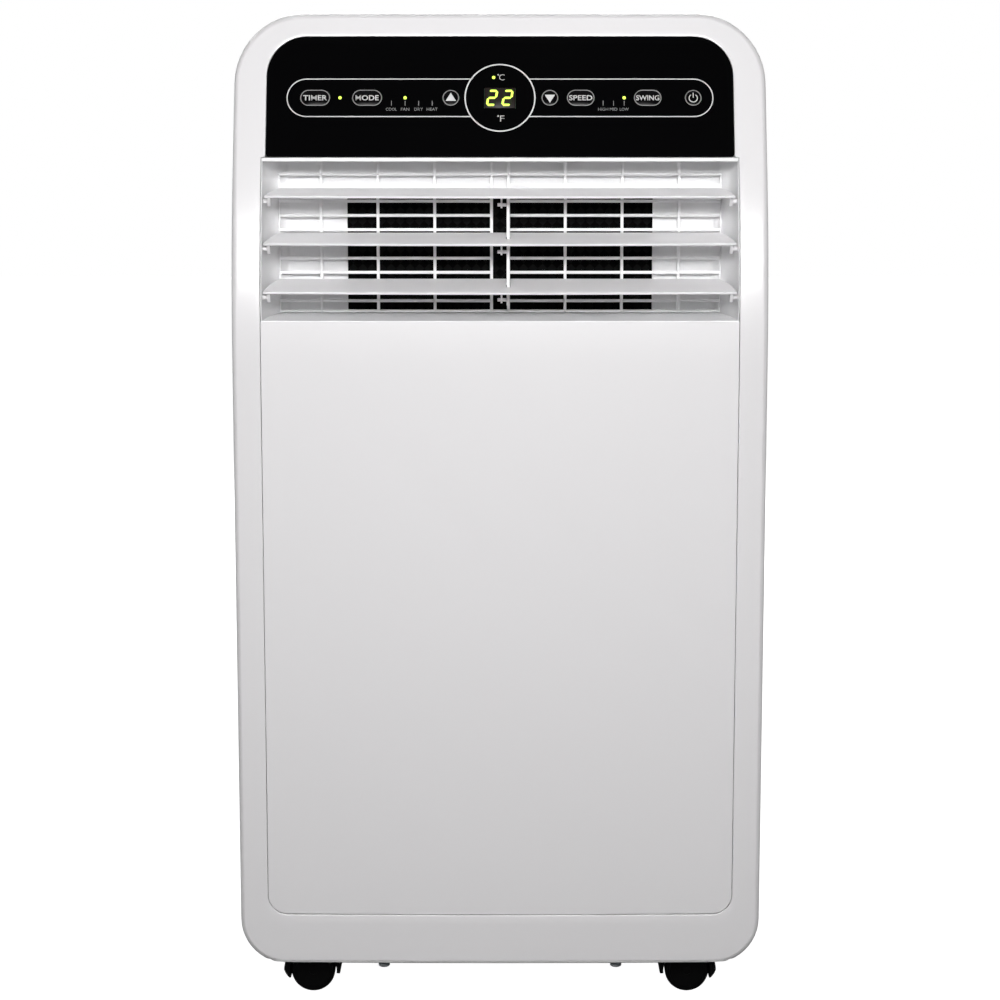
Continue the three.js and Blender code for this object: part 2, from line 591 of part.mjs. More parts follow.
// An outline across and up the slope, running from one height above it to another.
function slopePrism(shape, from, to) {
  return solidOf(extruded(shape, to - from).translate(0, 0, from).applyMatrix4(slope));
}

function keyOutline({ x, long }, gap) {
  if (!long) return circle(x, KEY_ROW, KEY_ROUND - gap, 12);
  const tall = KEY_TALL / 2 - gap;
  return roundedRect(x - long / 2 + gap, x + long / 2 - gap, KEY_ROW - tall, KEY_ROW + tall, tall - 0.01, tall - 0.01, 3);
}

const DISPLAY = [11, 7.7];      // half width and half height of the display window
const displayOutline = (gap) => outline([[-DISPLAY[0] + gap, KEY_ROW - DISPLAY[1] + gap],
  [DISPLAY[0] - gap, KEY_ROW - DISPLAY[1] + gap], [DISPLAY[0] - gap, KEY_ROW + DISPLAY[1] - gap],
  [-DISPLAY[0] + gap, KEY_ROW + DISPLAY[1] - gap]]);
const overlayPlate = cut(bodyLoft(OVERLAY_SINK), bodyLoft(OVERLAY_SINK + OVERLAY_THICK))
  .intersect(prismY(controlOutline(CLEAR), FRONT - 1, SEAM - 20));

function controlPanel() {
  return cut(overlayPlate, ...keys.map((key) => slopePrism(keyOutline(key, 0), -12, 8)),
    slopePrism(displayOutline(0), -12, 8));
}

function keyCap(key) {
  const cap = overlayPlate.intersect(slopePrism(keyOutline(key, 0.3), -12, 8));
  const capBack = -OVERLAY_SINK - OVERLAY_THICK - CROWN * (key.x / HALF) ** 2;
  return join(cap, slopePrism(circle(key.x, KEY_ROW, 2, 10), KEY_STEM, capBack + 1.5));
}

function displayWindow() {
  return overlayPlate.intersect(slopePrism(displayOutline(0.3), -12, 8));
}

function controlBoard() {
  const deck = (x, halfX, halfV, from, to) => slopePrism(outline([[x - halfX, KEY_ROW - halfV],
    [x + halfX, KEY_ROW - halfV], [x + halfX, KEY_ROW + halfV], [x - halfX, KEY_ROW + halfV]]), from, to);
  const switchTop = KEY_STEM - KEY_TRAVEL - 0.2;
  return join(deck(0, controlHalf - 16, 20, -BOARD_DEPTH - 1.6, -BOARD_DEPTH),
    ...keys.map(({ x }) => deck(x, 3, 3, -BOARD_DEPTH - 0.5, switchTop)), deck(0, 13, 9, -BOARD_DEPTH - 0.5, -5));
}

// ---------------------------------------------------------------- cold compartment

const DUCT_START = ventBack + 2.4 + 0.3;
const BLOWER_FRONT = DUCT_START + 46;
const upperBlower = { x: 0, z: HEIGHT - 203, radius: 86, front: BLOWER_FRONT, depth: 62 };
const lowerBlower = { x: EXHAUST_X, z: 172, radius: 80, front: BACK - 138, depth: 62 };

function outletDuct() {
  const tube = (grow, from, to) => block(-MOUTH_WIDTH / 2 - grow, MOUTH_WIDTH / 2 + grow, from, to,
    mouthLow - grow, mouthHigh + grow);
  return cut(tube(2.5, DUCT_START, BLOWER_FRONT - 0.4), tube(0.3, DUCT_START - 1, BLOWER_FRONT + 1));
}

function outletScreen() {
  return block(-MOUTH_WIDTH / 2, MOUTH_WIDTH / 2, DUCT_START + 3, DUCT_START + 4, mouthLow, mouthHigh);
}

function blowerHousing({ x, z, radius, front, depth }, outlet) {
  const drumOuter = drum('y', radius, front, front + depth, x, z, 20);
  const room = drum('y', radius - 3, front + 2, front + depth - 2, x, z, 20);
  const inlet = drum('y', radius * 0.6, front + depth - 3, front + depth + 1, x, z, 24);
  const shaftHole = drum('y', 7, front - 1, front + 3, x, z, 12);
  return cut(join(drumOuter, outlet.walls), room, inlet, shaftHole, ...outlet.room);
}

function upperHousing() {
  const { front } = upperBlower;
  const half = MOUTH_WIDTH / 2 - 30;
  return blowerHousing(upperBlower, {
    walls: block(-half - 2, half + 2, front, front + 8, mouthLow + 8, mouthHigh - 4),
    room: [block(-half, half, front - 1, front + 6, mouthLow + 10, mouthHigh - 6)],
  });
}

function lowerHousing() {
  const { x, z, front, depth } = lowerBlower;
  const half = 62;
  const top = EXHAUST_Z + COLLAR_RADIUS - 2;
  return blowerHousing(lowerBlower, {
    walls: block(x - half, x + half, front, front + depth, z, top),
    room: [block(x - half + 2, x + half - 2, front + 2, front + depth - 2, z, top - 2),
      drum('y', COLLAR_BORE - 4, front + depth - 3, front + depth + 1, EXHAUST_X, EXHAUST_Z, 32)],
  });
}

function fanWheel({ x, z, radius, front, depth }, shaftTo) {
  const tip = radius - 14;
  const from = front + 10;
  const to = front + depth - 12;
  const blades = Array.from({ length: 10 }, (_, i) => {
    const blade = new THREE.BoxGeometry(12, to - from, 1.6).rotateY(0.6).translate(tip - 7, 0, 0)
      .rotateY(2 * Math.PI * i / 10).translate(x, (from + to) / 2, z);
    return solidOf(blade);
  });
  const disc = drum('y', tip, from, from + 2.4, x, z, 16);
  const ring = cut(drum('y', tip, to - 3, to, x, z, 16), drum('y', tip - 13, to - 4, to + 1, x, z, 16));
  const hub = drum('y', 12, from, from + 26, x, z, 16);
  const ends = [Math.min(from + 5, shaftTo), Math.max(from + 5, shaftTo)];
  return join(disc, ring, hub, ...blades, drum('y', 4, ...ends, x, z, 12));
}

function fanMotor(x, z, from, to, shaftSide) {
  const can = drum('y', 30, from, to, x, z, 28);
  const ears = [0, 1, 2].map((i) => {
    const arm = new THREE.BoxGeometry(12, 3, 44).translate(0, 0, 34).rotateY(2 * Math.PI * i / 3);
    return solidOf(arm.translate(x, (from + to) / 2, z));
  });
  const bore = shaftSide > 0 ? [to - 12, to + 1] : [from - 1, from + 12];
  return cut(join(can, ...ears), drum('y', 4.4, ...bore, x, z, 12));
}

function coil(x0, x1, y0, y1, z0, z1) {
  const plates = [block(x0 - 2, x0, y0 - 2, y1 + 2, z0 - 4, z1 + 4), block(x1, x1 + 2, y0 - 2, y1 + 2, z0 - 4, z1 + 4)];
  const rows = Math.round((z1 - z0) / 80);
  const bends = Array.from({ length: rows }, (_, i) => {
    const z = z0 + (z1 - z0) * (i + 0.5) / rows;
    const path = (s, x) => [[x, y0 + 8, z], [x + s * 8, y0 + 10, z], [x + s * 8, y1 - 10, z], [x, y1 - 8, z]];
    return [pipe(path(-1, x0 - 1), 3.5, 6, 6), pipe(path(1, x1 + 1), 3.5, 6, 6)];
  });
  return join(block(x0, x1, y0, y1, z0, z1), ...plates, ...bends.flat());
}

const COIL_HALF = HALF - 37;
const upperIntake = { x: 0, half: 128, z0: HEIGHT - 273, z1: HEIGHT - 78 };
const lowerIntake = { x: 0, half: 128, z0: 82, z1: 240 };

function evaporator() {
  return coil(-COIL_HALF, COIL_HALF, BACK - 62, BACK - 32, upperIntake.z0 - 8, upperIntake.z1);
}

function condenser() {
  return coil(-COIL_HALF, COIL_HALF, BACK - 62, BACK - 27, lowerIntake.z0 + 8, lowerIntake.z1 - 4);
}

function dripTray() {
  const y0 = BLOWER_FRONT + 12;
  const pan = block(-HALF + 22, HALF - 22, y0, BACK - 22, SHELF_Z, SHELF_Z + 10);
  const spout = drum('y', 6, BACK - 24, BACK - 12, drains[0].x, SHELF_Z + 5, 12);
  return cut(join(cut(pan, block(-HALF + 24, HALF - 24, y0 + 2, BACK - 24, SHELF_Z + 2, SHELF_Z + 12)), spout),
    drum('y', 3.6, BACK - 30, BACK - 11, drains[0].x, SHELF_Z + 5, 12));
}

// ---------------------------------------------------------------- warm compartment

const COMPRESSOR = { x: -88, y: FRONT + 128, radius: 57, foot: 60, top: 266 };

function compressor() {
  const { x, y, radius, foot, top } = COMPRESSOR;
  const can = solidOf(turned([[0, foot], [radius - 8, foot], [radius, foot + 12], [radius, top - 30],
    [radius - 6, top - 14], [radius - 22, top - 4], [0, top]], 24).rotateX(Math.PI / 2).translate(x, y, 0));
  const legs = gromPlaces().map(([gx, gy]) => {
    const length = Math.hypot(gx - x, gy - y) + 12;
    const leg = new THREE.BoxGeometry(length, 26, 3).translate(length / 2, 0, foot + 1.5)
      .rotateZ(Math.atan2(gy - y, gx - x));
    return solidOf(leg.translate(x, y, 0));
  });
  return join(can, ...legs, drum('z', 16, top - 6, top + 6, x, y + 22, 16));
}

function gromPlaces() {
  const { x, y, radius } = COMPRESSOR;
  return [90, 210, 330].map((deg) => {
    const a = THREE.MathUtils.degToRad(deg);
    return [x + (radius + 8) * Math.cos(a), y + (radius + 8) * Math.sin(a)];
  });
}

function grommet([x, y]) {
  const seat = trayFloor + 0.5;
  const { foot } = COMPRESSOR;
  const profile = [[0, seat], [10, seat], [10, seat + 7], [7, seat + 10], [10, seat + 14], [10, foot - 0.3],
    [0, foot - 0.3]];
  return solidOf(turned(profile, 10).rotateX(Math.PI / 2).translate(x, y, 0));
}

const accumulatorX = COMPRESSOR.x + COMPRESSOR.radius + 24;

function accumulator() {
  return solidOf(turned([[0, 118], [14, 122], [19, 132], [19, 226], [14, 236], [0, 240]], 24)
    .rotateX(Math.PI / 2).translate(accumulatorX, COMPRESSOR.y, 0));
}

function suctionPipe() {
  const { y } = COMPRESSOR;
  return pipe([[accumulatorX, y, 240.4], [accumulatorX, y, 275], [-60, y - 18, 360], [-118, y - 12, 424],
    [-158, y + 50, 470], [-165, BACK - 95, 500], [-165, BACK - 70, 520]], 5, 6, 22);
}

function dischargePipe() {
  const { x, y, top } = COMPRESSOR;
  return pipe([[x, y + 22, top + 6.4], [x, y + 22, top + 30], [x - 40, y + 55, top + 40],
    [-164, BACK - 110, 250], [-166, BACK - 80, 225], [-166, BACK - 66, 205]], 4, 6, 20);
}

function electricalBox() {
  return block(70, 160, FRONT + 24, FRONT + 84, 262, 384);
}

function capacitor() {
  return join(drum('z', 20, 262, 332, 34, FRONT + 54, 24), drum('z', 3, 331, 340, 28, FRONT + 54, 8),
    drum('z', 3, 331, 340, 40, FRONT + 54, 8));
}

function exhaustCollar() {
  const from = lowerBlower.front + lowerBlower.depth + 0.4;
  const to = BACK + COLLAR_REACH;
  const profile = [[COLLAR_BORE, from], [COLLAR_RADIUS - 1, from], [COLLAR_RADIUS - 1, BACK + CLEAR],
    [COLLAR_RADIUS + 9, BACK + CLEAR], [COLLAR_RADIUS + 9, BACK + 3.2], [COLLAR_RADIUS, BACK + 3.2],
    [COLLAR_RADIUS, to - 1.5], [COLLAR_RADIUS - 1.5, to], [COLLAR_BORE, to], [COLLAR_BORE, from]];
  return solidOf(turned(profile, 24).translate(EXHAUST_X, 0, EXHAUST_Z));
}

// A finger guard pushed into the collar's bore.
const GUARD = { inside: 7, deep: 4, rim: 3, pitch: 30, bar: 2.4 };

function exhaustGuard() {
  const y0 = BACK - GUARD.inside;
  const y1 = y0 + GUARD.deep;
  const radius = COLLAR_BORE * Math.cos(Math.PI / 24) - 0.4;
  const rim = cut(drum('y', radius, y0, y1, EXHAUST_X, EXHAUST_Z, 24),
    drum('y', radius - GUARD.rim, y0 - 1, y1 + 1, EXHAUST_X, EXHAUST_Z, 24));
  const bars = [-1, 0, 1].map((i) => {
    const half = Math.sqrt((radius - 2) ** 2 - (i * GUARD.pitch) ** 2);
    const z = EXHAUST_Z + i * GUARD.pitch;
    return block(EXHAUST_X - half, EXHAUST_X + half, y0, y1, z - GUARD.bar / 2, z + GUARD.bar / 2);
  });
  return join(rim, ...bars);
}

// A wheel that throws condensate from the base tray onto the warm coil.
const SLINGER = { x: -17, y: BACK - 80, z: UNDERSIDE + 31, radius: 20 };

function slingerWheel() {
  const { x, y, z, radius } = SLINGER;
  const paddles = [0, 1, 2, 3, 4, 5].map((i) => {
    const paddle = new THREE.BoxGeometry(6, 2, 8).translate(0, 0, radius - 4).rotateX(Math.PI * i / 3);
    return solidOf(paddle.translate(x, y, z));
  });
  return join(drum('x', radius - 5, x - 1.2, x + 1.2, y, z, 24), ...paddles, drum('x', 3, x - 14, x + 3, y, z, 12));
}

function slingerMotor() {
  const { x, y, z } = SLINGER;
  return cut(join(drum('x', 15, x - 50, x - 6, y, z, 20), block(x - 44, x - 40, y - 17, y + 17, trayFloor + 0.4, z)),
    drum('x', 3.4, x - 16, x - 5, y, z, 12));
}

// ---------------------------------------------------------------- rear fittings

const PLUG_RADIUS = 8.5;
const drains = [{ x: -96, z: SHELF_Z + 5 }, { x: -30, z: UNDERSIDE + 18 }];
const GLAND_X = 138;
const GLAND_Z = 262;
const GLAND_RADIUS = 9;
const GRIP_LONG = 112;
const GRIP_TALL = 26;
const GRIP_DEPTH = 24;
const GRIP_Y = 26;
const GRIP_Z = HEIGHT - 158;

function intakeOutline({ x, half, z0, z1 }, gap) {
  return roundedRect(x - half + gap, x + half - gap, z0 + gap, z1 - gap, 8 - gap, 8 - gap, 4);
}

function filterCassette(intake) {
  const edge = CLEAR + 0.25;
  const columns = 2;
  const pitch = 16;
  const rows = Math.floor((intake.z1 - intake.z0 - 24) / pitch);
  const low = (intake.z0 + intake.z1 - rows * pitch) / 2;
  const wide = (2 * intake.half - 28) / columns;
  const slots = [];
  for (let row = 0; row < rows; row++) {
    for (let column = 0; column < columns; column++) {
      const x0 = intake.x - intake.half + 14 + column * wide + 3;
      const z0 = low + row * pitch + 2;
      slots.push(block(x0, x0 + wide - 6, BACK - 20, BACK + 1, z0, z0 + 12));
    }
  }
  const basket = cut(prismY(intakeOutline(intake, edge), BACK - 14, BACK),
    prismY(intakeOutline(intake, edge + 3), BACK - 15, BACK - 3));
  return cut(basket, ...slots);
}

function drainPlug({ x, z }) {
  const profile = [[0, BACK - 9], [5, BACK - 9], [PLUG_RADIUS - 0.4, BACK - 5], [PLUG_RADIUS - 0.4, BACK + 0.4],
    [PLUG_RADIUS + 3, BACK + 0.4], [PLUG_RADIUS + 3, BACK + 3], [PLUG_RADIUS, BACK + 5], [0, BACK + 5]];
  return solidOf(turned(profile, 14).translate(x, 0, z));
}

function cordGland() {
  const profile = [[4, BACK - 8], [GLAND_RADIUS - 0.5, BACK - 8], [GLAND_RADIUS - 0.5, BACK + 0.4],
    [GLAND_RADIUS + 3, BACK + 0.4], [GLAND_RADIUS + 3, BACK + 2.6], [6, BACK + 9], [4, BACK + 9], [4, BACK - 8]];
  return solidOf(turned(profile, 14).translate(GLAND_X, 0, GLAND_Z));
}

const SCREW_SIDE = 83;

function baseScrew(side) {
  const top = UNDERSIDE - 0.3;
  const profile = [[0, top - 2.6], [2.6, top - 2.4], [4.3, top - 1], [4.3, top], [0, top]];
  return solidOf(turned(profile, 12).rotateX(Math.PI / 2).translate(side * SCREW_SIDE, FRONT + 15, 0));
}

// ---------------------------------------------------------------- assembly

add('base_tray', baseTray(), 'satin_white');
add('front_frame', frontFrame(), 'gloss_white');
add('front_panel', frontPanel(), 'gloss_white');
add('rear_shell', rearShell(), 'satin_white');
add('vent_surround', ventSurround(), 'vent_white');
add('outlet_grille', outletGrille(), 'vent_white');
add('outlet_duct', outletDuct(), 'foam');
add('outlet_screen', outletScreen(), 'black_plastic');
['slat_top', 'slat_middle', 'slat_bottom'].forEach((name, i) => add(name, slat(slatPlaces[i]), 'vent_white'));
add('louvre_link', louvreLink(), 'vent_white');
add('swing_motor', swingMotor(), 'steel');
add('control_panel', controlPanel(), 'black_gloss');
keys.forEach((key) => add(key.name, keyCap(key), 'black_gloss'));
add('display_window', displayWindow(), 'smoked');
add('control_board', controlBoard(), 'green_board');
add('evaporator_housing', upperHousing(), 'foam');
add('evaporator_fan', fanWheel(upperBlower, upperBlower.front + upperBlower.depth + 8), 'black_plastic');
add('evaporator_fan_motor', fanMotor(upperBlower.x, upperBlower.z,
  upperBlower.front + upperBlower.depth + 1, upperBlower.front + upperBlower.depth + 38, -1), 'black_steel');
add('evaporator_coil', evaporator(), 'fin');
add('drip_tray', dripTray(), 'grey_plastic');
add('condenser_housing', lowerHousing(), 'grey_plastic');
add('condenser_fan', fanWheel(lowerBlower, lowerBlower.front - 8), 'black_plastic');
add('condenser_fan_motor', fanMotor(lowerBlower.x, lowerBlower.z, lowerBlower.front - 52,
  lowerBlower.front - 1, 1), 'black_steel');
add('condenser_coil', condenser(), 'fin');
add('compressor', compressor(), 'black_steel');
gromPlaces().forEach((place, i) => add(`compressor_grommet_${i + 1}`, grommet(place), 'rubber'));
add('accumulator', accumulator(), 'black_steel');
add('suction_pipe', suctionPipe(), 'copper');
add('discharge_pipe', dischargePipe(), 'copper');
add('electrical_box', electricalBox(), 'steel');
add('capacitor', capacitor(), 'steel');
add('slinger_wheel', slingerWheel(), 'black_plastic');
add('slinger_motor', slingerMotor(), 'black_steel');
add('exhaust_collar', exhaustCollar(), 'satin_white');
add('exhaust_guard', exhaustGuard(), 'satin_white');
add('upper_filter', filterCassette(upperIntake), 'satin_white');
add('lower_filter', filterCassette(lowerIntake), 'satin_white');
add('drain_plug_upper', drainPlug(drains[0]), 'rubber');
add('drain_plug_lower', drainPlug(drains[1]), 'rubber');
add('cord_gland', cordGland(), 'black_plastic');
add('base_screw_left', baseScrew(-1), 'steel');
add('base_screw_right', baseScrew(1), 'steel');
casterPlaces.forEach((place) => {
  add(`caster_fork_${place.name}`, casterFork(place), 'black_plastic');
  add(`caster_wheels_${place.name}`, casterWheels(place), 'black_plastic');
});

export default group;
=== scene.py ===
"""Looks of an upright portable air conditioner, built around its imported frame. Metres, +Z up, front towards -Y."""
import json
import math

import bmesh
import bpy
from bpy.props import FloatProperty, FloatVectorProperty, PointerProperty
from mathutils import Matrix, Vector


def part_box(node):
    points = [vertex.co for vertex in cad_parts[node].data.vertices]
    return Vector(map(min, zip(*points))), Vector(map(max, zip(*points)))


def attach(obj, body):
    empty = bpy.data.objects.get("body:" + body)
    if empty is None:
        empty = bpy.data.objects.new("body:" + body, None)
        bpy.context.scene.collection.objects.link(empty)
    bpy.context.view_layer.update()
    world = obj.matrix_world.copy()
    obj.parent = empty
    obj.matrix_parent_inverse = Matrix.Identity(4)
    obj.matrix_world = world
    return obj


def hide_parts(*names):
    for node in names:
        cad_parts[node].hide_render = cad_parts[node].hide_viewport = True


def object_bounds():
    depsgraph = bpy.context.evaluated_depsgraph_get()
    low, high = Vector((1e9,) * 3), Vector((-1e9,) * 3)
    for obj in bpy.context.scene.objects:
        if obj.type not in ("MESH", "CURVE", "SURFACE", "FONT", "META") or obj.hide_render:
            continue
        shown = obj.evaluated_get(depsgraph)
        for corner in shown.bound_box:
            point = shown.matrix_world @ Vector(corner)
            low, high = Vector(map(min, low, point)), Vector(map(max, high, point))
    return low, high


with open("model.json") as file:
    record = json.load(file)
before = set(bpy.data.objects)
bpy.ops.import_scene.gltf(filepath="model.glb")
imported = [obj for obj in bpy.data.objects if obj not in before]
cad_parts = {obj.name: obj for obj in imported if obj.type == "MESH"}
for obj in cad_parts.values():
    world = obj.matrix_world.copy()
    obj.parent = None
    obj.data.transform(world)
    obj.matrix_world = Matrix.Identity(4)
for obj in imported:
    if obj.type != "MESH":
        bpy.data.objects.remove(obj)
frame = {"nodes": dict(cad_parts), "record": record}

bl_info = {
    "name": "Portable Air Conditioner",
    "version": (1, 0, 0),
    "blender": (4, 5, 0),
    "location": "View3D > Sidebar > Cooler",
    "description": "Builds the housing, vent, controls and finishes of a portable air conditioner",
    "category": "Object",
}

# ---------------------------------------------------------------- sizes taken from the frame

LOW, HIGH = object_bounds()
FRONT = LOW[1]
TOP = HIGH[2]
HALF = HIGH[0]
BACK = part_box("rear_shell")[1][1]
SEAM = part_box("front_frame")[1][1]
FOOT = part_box("front_frame")[0][2]
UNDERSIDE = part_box("base_tray")[0][2]
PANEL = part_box("front_panel")
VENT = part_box("vent_surround")
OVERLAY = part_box("control_panel")
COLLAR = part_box("exhaust_collar")
MM = 0.001

# ---------------------------------------------------------------- shape of the front

BEND_LOW = TOP - 238 * MM       # where the upright front starts to lean back
BEND_RADIUS = 400 * MM
LEAN = math.radians(19)
CROWN = 3 * MM
TOP_RADIUS = 48 * MM
BOTTOM_RADIUS = 33 * MM
GROOVE = 0.35 * MM              # half of the gap round the fitted panels
WALL = 2.6 * MM
SLOPE_LOW = BEND_LOW + BEND_RADIUS * math.sin(LEAN)


def setback(z):
    """How far the front has bent back at a height."""
    if z <= BEND_LOW:
        return 0.0
    if z <= SLOPE_LOW:
        return BEND_RADIUS - math.sqrt(BEND_RADIUS ** 2 - (z - BEND_LOW) ** 2)
    return BEND_RADIUS * (1 - math.cos(LEAN)) + (z - SLOPE_LOW) * math.tan(LEAN)


def on_front(x, z, depth=0.0):
    """A point on the crowned front face, or a depth behind it."""
    return Vector((x, FRONT + setback(z) + CROWN * (x / HALF) ** 2 + depth, z))


def on_slope(u, v, lift=0.0):
    """A point across and up the sloping panel, lifted off its face."""
    z = SLOPE_LOW + v * math.cos(LEAN) + lift * math.sin(LEAN)
    y = FRONT + BEND_RADIUS * (1 - math.cos(LEAN)) + v * math.sin(LEAN) - lift * math.cos(LEAN)
    return Vector((u, y + CROWN * (u / HALF) ** 2, z))


# ---------------------------------------------------------------- mesh tools

def smooth_faces(obj, angle):
    """Smooth faces, with an edge kept sharp where it turns by more than an angle in degrees."""
    obj.data.shade_smooth()
    obj.data.set_sharp_from_angle(angle=math.radians(angle))


def piece(name, bm, body="housing", finish=None, replaces=(), smooth=40.0):
    """Makes a bmesh an object that rides on a body, with its material and smooth faces."""
    mesh = bpy.data.meshes.new(name)
    bm.to_mesh(mesh)
    bm.free()
    obj = bpy.data.objects.new(name, mesh)
    bpy.context.scene.collection.objects.link(obj)
    if finish:
        mesh.materials.append(finish)
    if smooth:
        smooth_faces(obj, smooth)
    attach(obj, body)
    if replaces:
        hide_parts(*replaces)
    return obj


def extrude_rings(bm, rings, closed_ring=True):
    """Lays the first ring out and extrudes it from ring to ring; all rings have the same count."""
    count = len(rings[0])
    place = bm.verts.layers.int.get("place") or bm.verts.layers.int.new("place")
    verts = bmesh.ops.create_circle(bm, cap_ends=False, segments=count, radius=1)["verts"]
    for i, vert in enumerate(verts):
        vert[place] = i
        vert.co = rings[0][i]
    edges = list({edge for vert in verts for edge in vert.link_edges})
    if not closed_ring:
        open_edge = [e for e in edges if {v[place] for v in e.verts} == {0, count - 1}]
        bmesh.ops.delete(bm, geom=open_edge, context="EDGES")
        edges = [e for e in edges if e.is_valid]
    for ring in rings[1:]:
        made = bmesh.ops.extrude_edge_only(bm, edges=edges)["geom"]
        fresh = {item for item in made if isinstance(item, bmesh.types.BMVert)}
        edges = [item for item in made if isinstance(item, bmesh.types.BMEdge)
                 and item.verts[0] in fresh and item.verts[1] in fresh]
        for vert in fresh:
            vert.co = ring[vert[place]]
    return edges


def tidy(bm, merge=1e-6):
    """Merges doubles and turns the faces outwards."""
    bmesh.ops.remove_doubles(bm, verts=bm.verts, dist=merge)
    bmesh.ops.dissolve_degenerate(bm, dist=1e-7, edges=bm.edges)
    bmesh.ops.recalc_face_normals(bm, faces=bm.faces)
    return bm


def fill_holes(bm):
    """Closes every open edge loop with a face."""
    rims = [edge for edge in bm.edges if edge.is_boundary]
    bmesh.ops.edgeloop_fill(bm, edges=rims)


def ring_solid(rings, closed=False):
    """A closed solid swept through rings; a closed sweep returns to its first ring."""
    bm = bmesh.new()
    extrude_rings(bm, rings + rings[:1] if closed else rings)
    bmesh.ops.remove_doubles(bm, verts=bm.verts, dist=1e-7)
    if not closed:
        fill_holes(bm)
    return tidy(bm)


def sheet_solid(rows, thick):
    """A sheet laid out row by row and given a thickness behind it."""
    bm = bmesh.new()
    extrude_rings(bm, rows, closed_ring=False)
    bmesh.ops.remove_doubles(bm, verts=bm.verts, dist=1e-7)
    bmesh.ops.recalc_face_normals(bm, faces=bm.faces)
    facing = sum((face.normal * face.calc_area() for face in bm.faces), Vector())
    if facing.y > 0:
        bmesh.ops.reverse_faces(bm, faces=bm.faces)
    bmesh.ops.solidify(bm, geom=bm.faces, thickness=thick)
    bmesh.ops.recalc_face_normals(bm, faces=bm.faces)
    return bm


def spun(profile, axis, centre, steps=48):
    """A turned piece: (radius, height) points spun round an axis through a centre."""
    bm = bmesh.new()
    side = {"x": Vector((0, 0, 1)), "y": Vector((1, 0, 0)), "z": Vector((1, 0, 0))}[axis]
    along = {"x": Vector((1, 0, 0)), "y": Vector((0, 1, 0)), "z": Vector((0, 0, 1))}[axis]
    verts = [bm.verts.new(Vector(centre) + side * r + along * h) for r, h in profile]
    for a, b in zip(verts, verts[1:]):
        bm.edges.new((a, b))
    bmesh.ops.spin(bm, geom=bm.verts[:] + bm.edges[:], cent=centre, axis=along, dvec=(0, 0, 0),
                   angle=2 * math.pi, steps=steps, use_merge=True, use_duplicate=False)
    return tidy(bm, 1e-6)


def bar(bm, low, high):
    """Adds a box between two corners."""
    low, high = Vector(low), Vector(high)
    size = high - low
    matrix = Matrix.Translation((low + high) / 2) @ Matrix.Diagonal((*size, 1))
    return bmesh.ops.create_cube(bm, size=1, matrix=matrix)["verts"]


def round_edges(bm, width, segments=2, angle=35):
    """Bevels every edge sharper than an angle."""
    limit = math.radians(angle)
    sharp = [e for e in bm.edges if len(e.link_faces) == 2 and e.calc_face_angle(0) > limit]
    bmesh.ops.bevel(bm, geom=sharp, offset=width, offset_type="OFFSET", segments=segments, profile=0.5,
                    affect="EDGES", material=-1, clamp_overlap=True)


def middle_of(low, high):
    """The middle of a box."""
    return tuple((a + b) / 2 for a, b in zip(low, high))


def carve(obj, cutters):
    """Cuts solids out of a piece and removes them."""
    for cutter in cutters:
        modifier = obj.modifiers.new("cut", "BOOLEAN")
        modifier.operation = "DIFFERENCE"
        modifier.solver = "EXACT"
        modifier.object = cutter
    apply_modifiers(obj)
    for cutter in cutters:
        bpy.data.objects.remove(cutter)


def apply_modifiers(obj):
    """Turns the modifiers of a piece into plain mesh."""
    graph = bpy.context.evaluated_depsgraph_get()
    graph.update()
    mesh = bpy.data.meshes.new_from_object(obj.evaluated_get(graph), depsgraph=graph)
    old = obj.data
    obj.modifiers.clear()
    obj.data = mesh
    mesh.name = obj.name
    bpy.data.meshes.remove(old)


def loose(bm):
    """A helper object for a cut; it never stays in the scene."""
    mesh = bpy.data.meshes.new("cutter")
    bm.to_mesh(mesh)
    bm.free()
    obj = bpy.data.objects.new("cutter", mesh)
    bpy.context.scene.collection.objects.link(obj)
    return obj


def bevelled(obj, width, segments=3, angle=35):
    """A live bevel on a finished piece."""
    modifier = obj.modifiers.new("edges", "BEVEL")
    modifier.width = width
    modifier.segments = segments
    modifier.limit_method = "ANGLE"
    modifier.angle_limit = math.radians(angle)
    modifier.harden_normals = False


# ---------------------------------------------------------------- shader groups

def new_group(name, inputs, outputs):
    """An empty node group with its sockets, its way in and its way out."""
    group = bpy.data.node_groups.new(name, "ShaderNodeTree")
    for label, kind, default in inputs:
        socket = group.interface.new_socket(label, in_out="INPUT", socket_type=kind)
        socket.default_value = default
    for label, kind in outputs:
        group.interface.new_socket(label, in_out="OUTPUT", socket_type=kind)
    enter = group.nodes.new("NodeGroupInput")
    leave = group.nodes.new("NodeGroupOutput")
    return group, enter, leave


def grain_group():
    """Fine moulded grain as a height, from noise on the piece's own coordinates."""
    group, enter, leave = new_group("moulded_grain", [
        ("Scale", "NodeSocketFloat", 900.0), ("Fineness", "NodeSocketFloat", 0.6)],
        [("Height", "NodeSocketFloat")])
    place = group.nodes.new("ShaderNodeTexCoord")
    noise = group.nodes.new("ShaderNodeTexNoise")
    noise.inputs["Detail"].default_value = 3.0
    link = group.links.new
    link(place.outputs["Object"], noise.inputs["Vector"])
    link(enter.outputs["Scale"], noise.inputs["Scale"])
    link(enter.outputs["Fineness"], noise.inputs["Roughness"])
    link(noise.outputs["Fac"], leave.inputs["Height"])
    return group


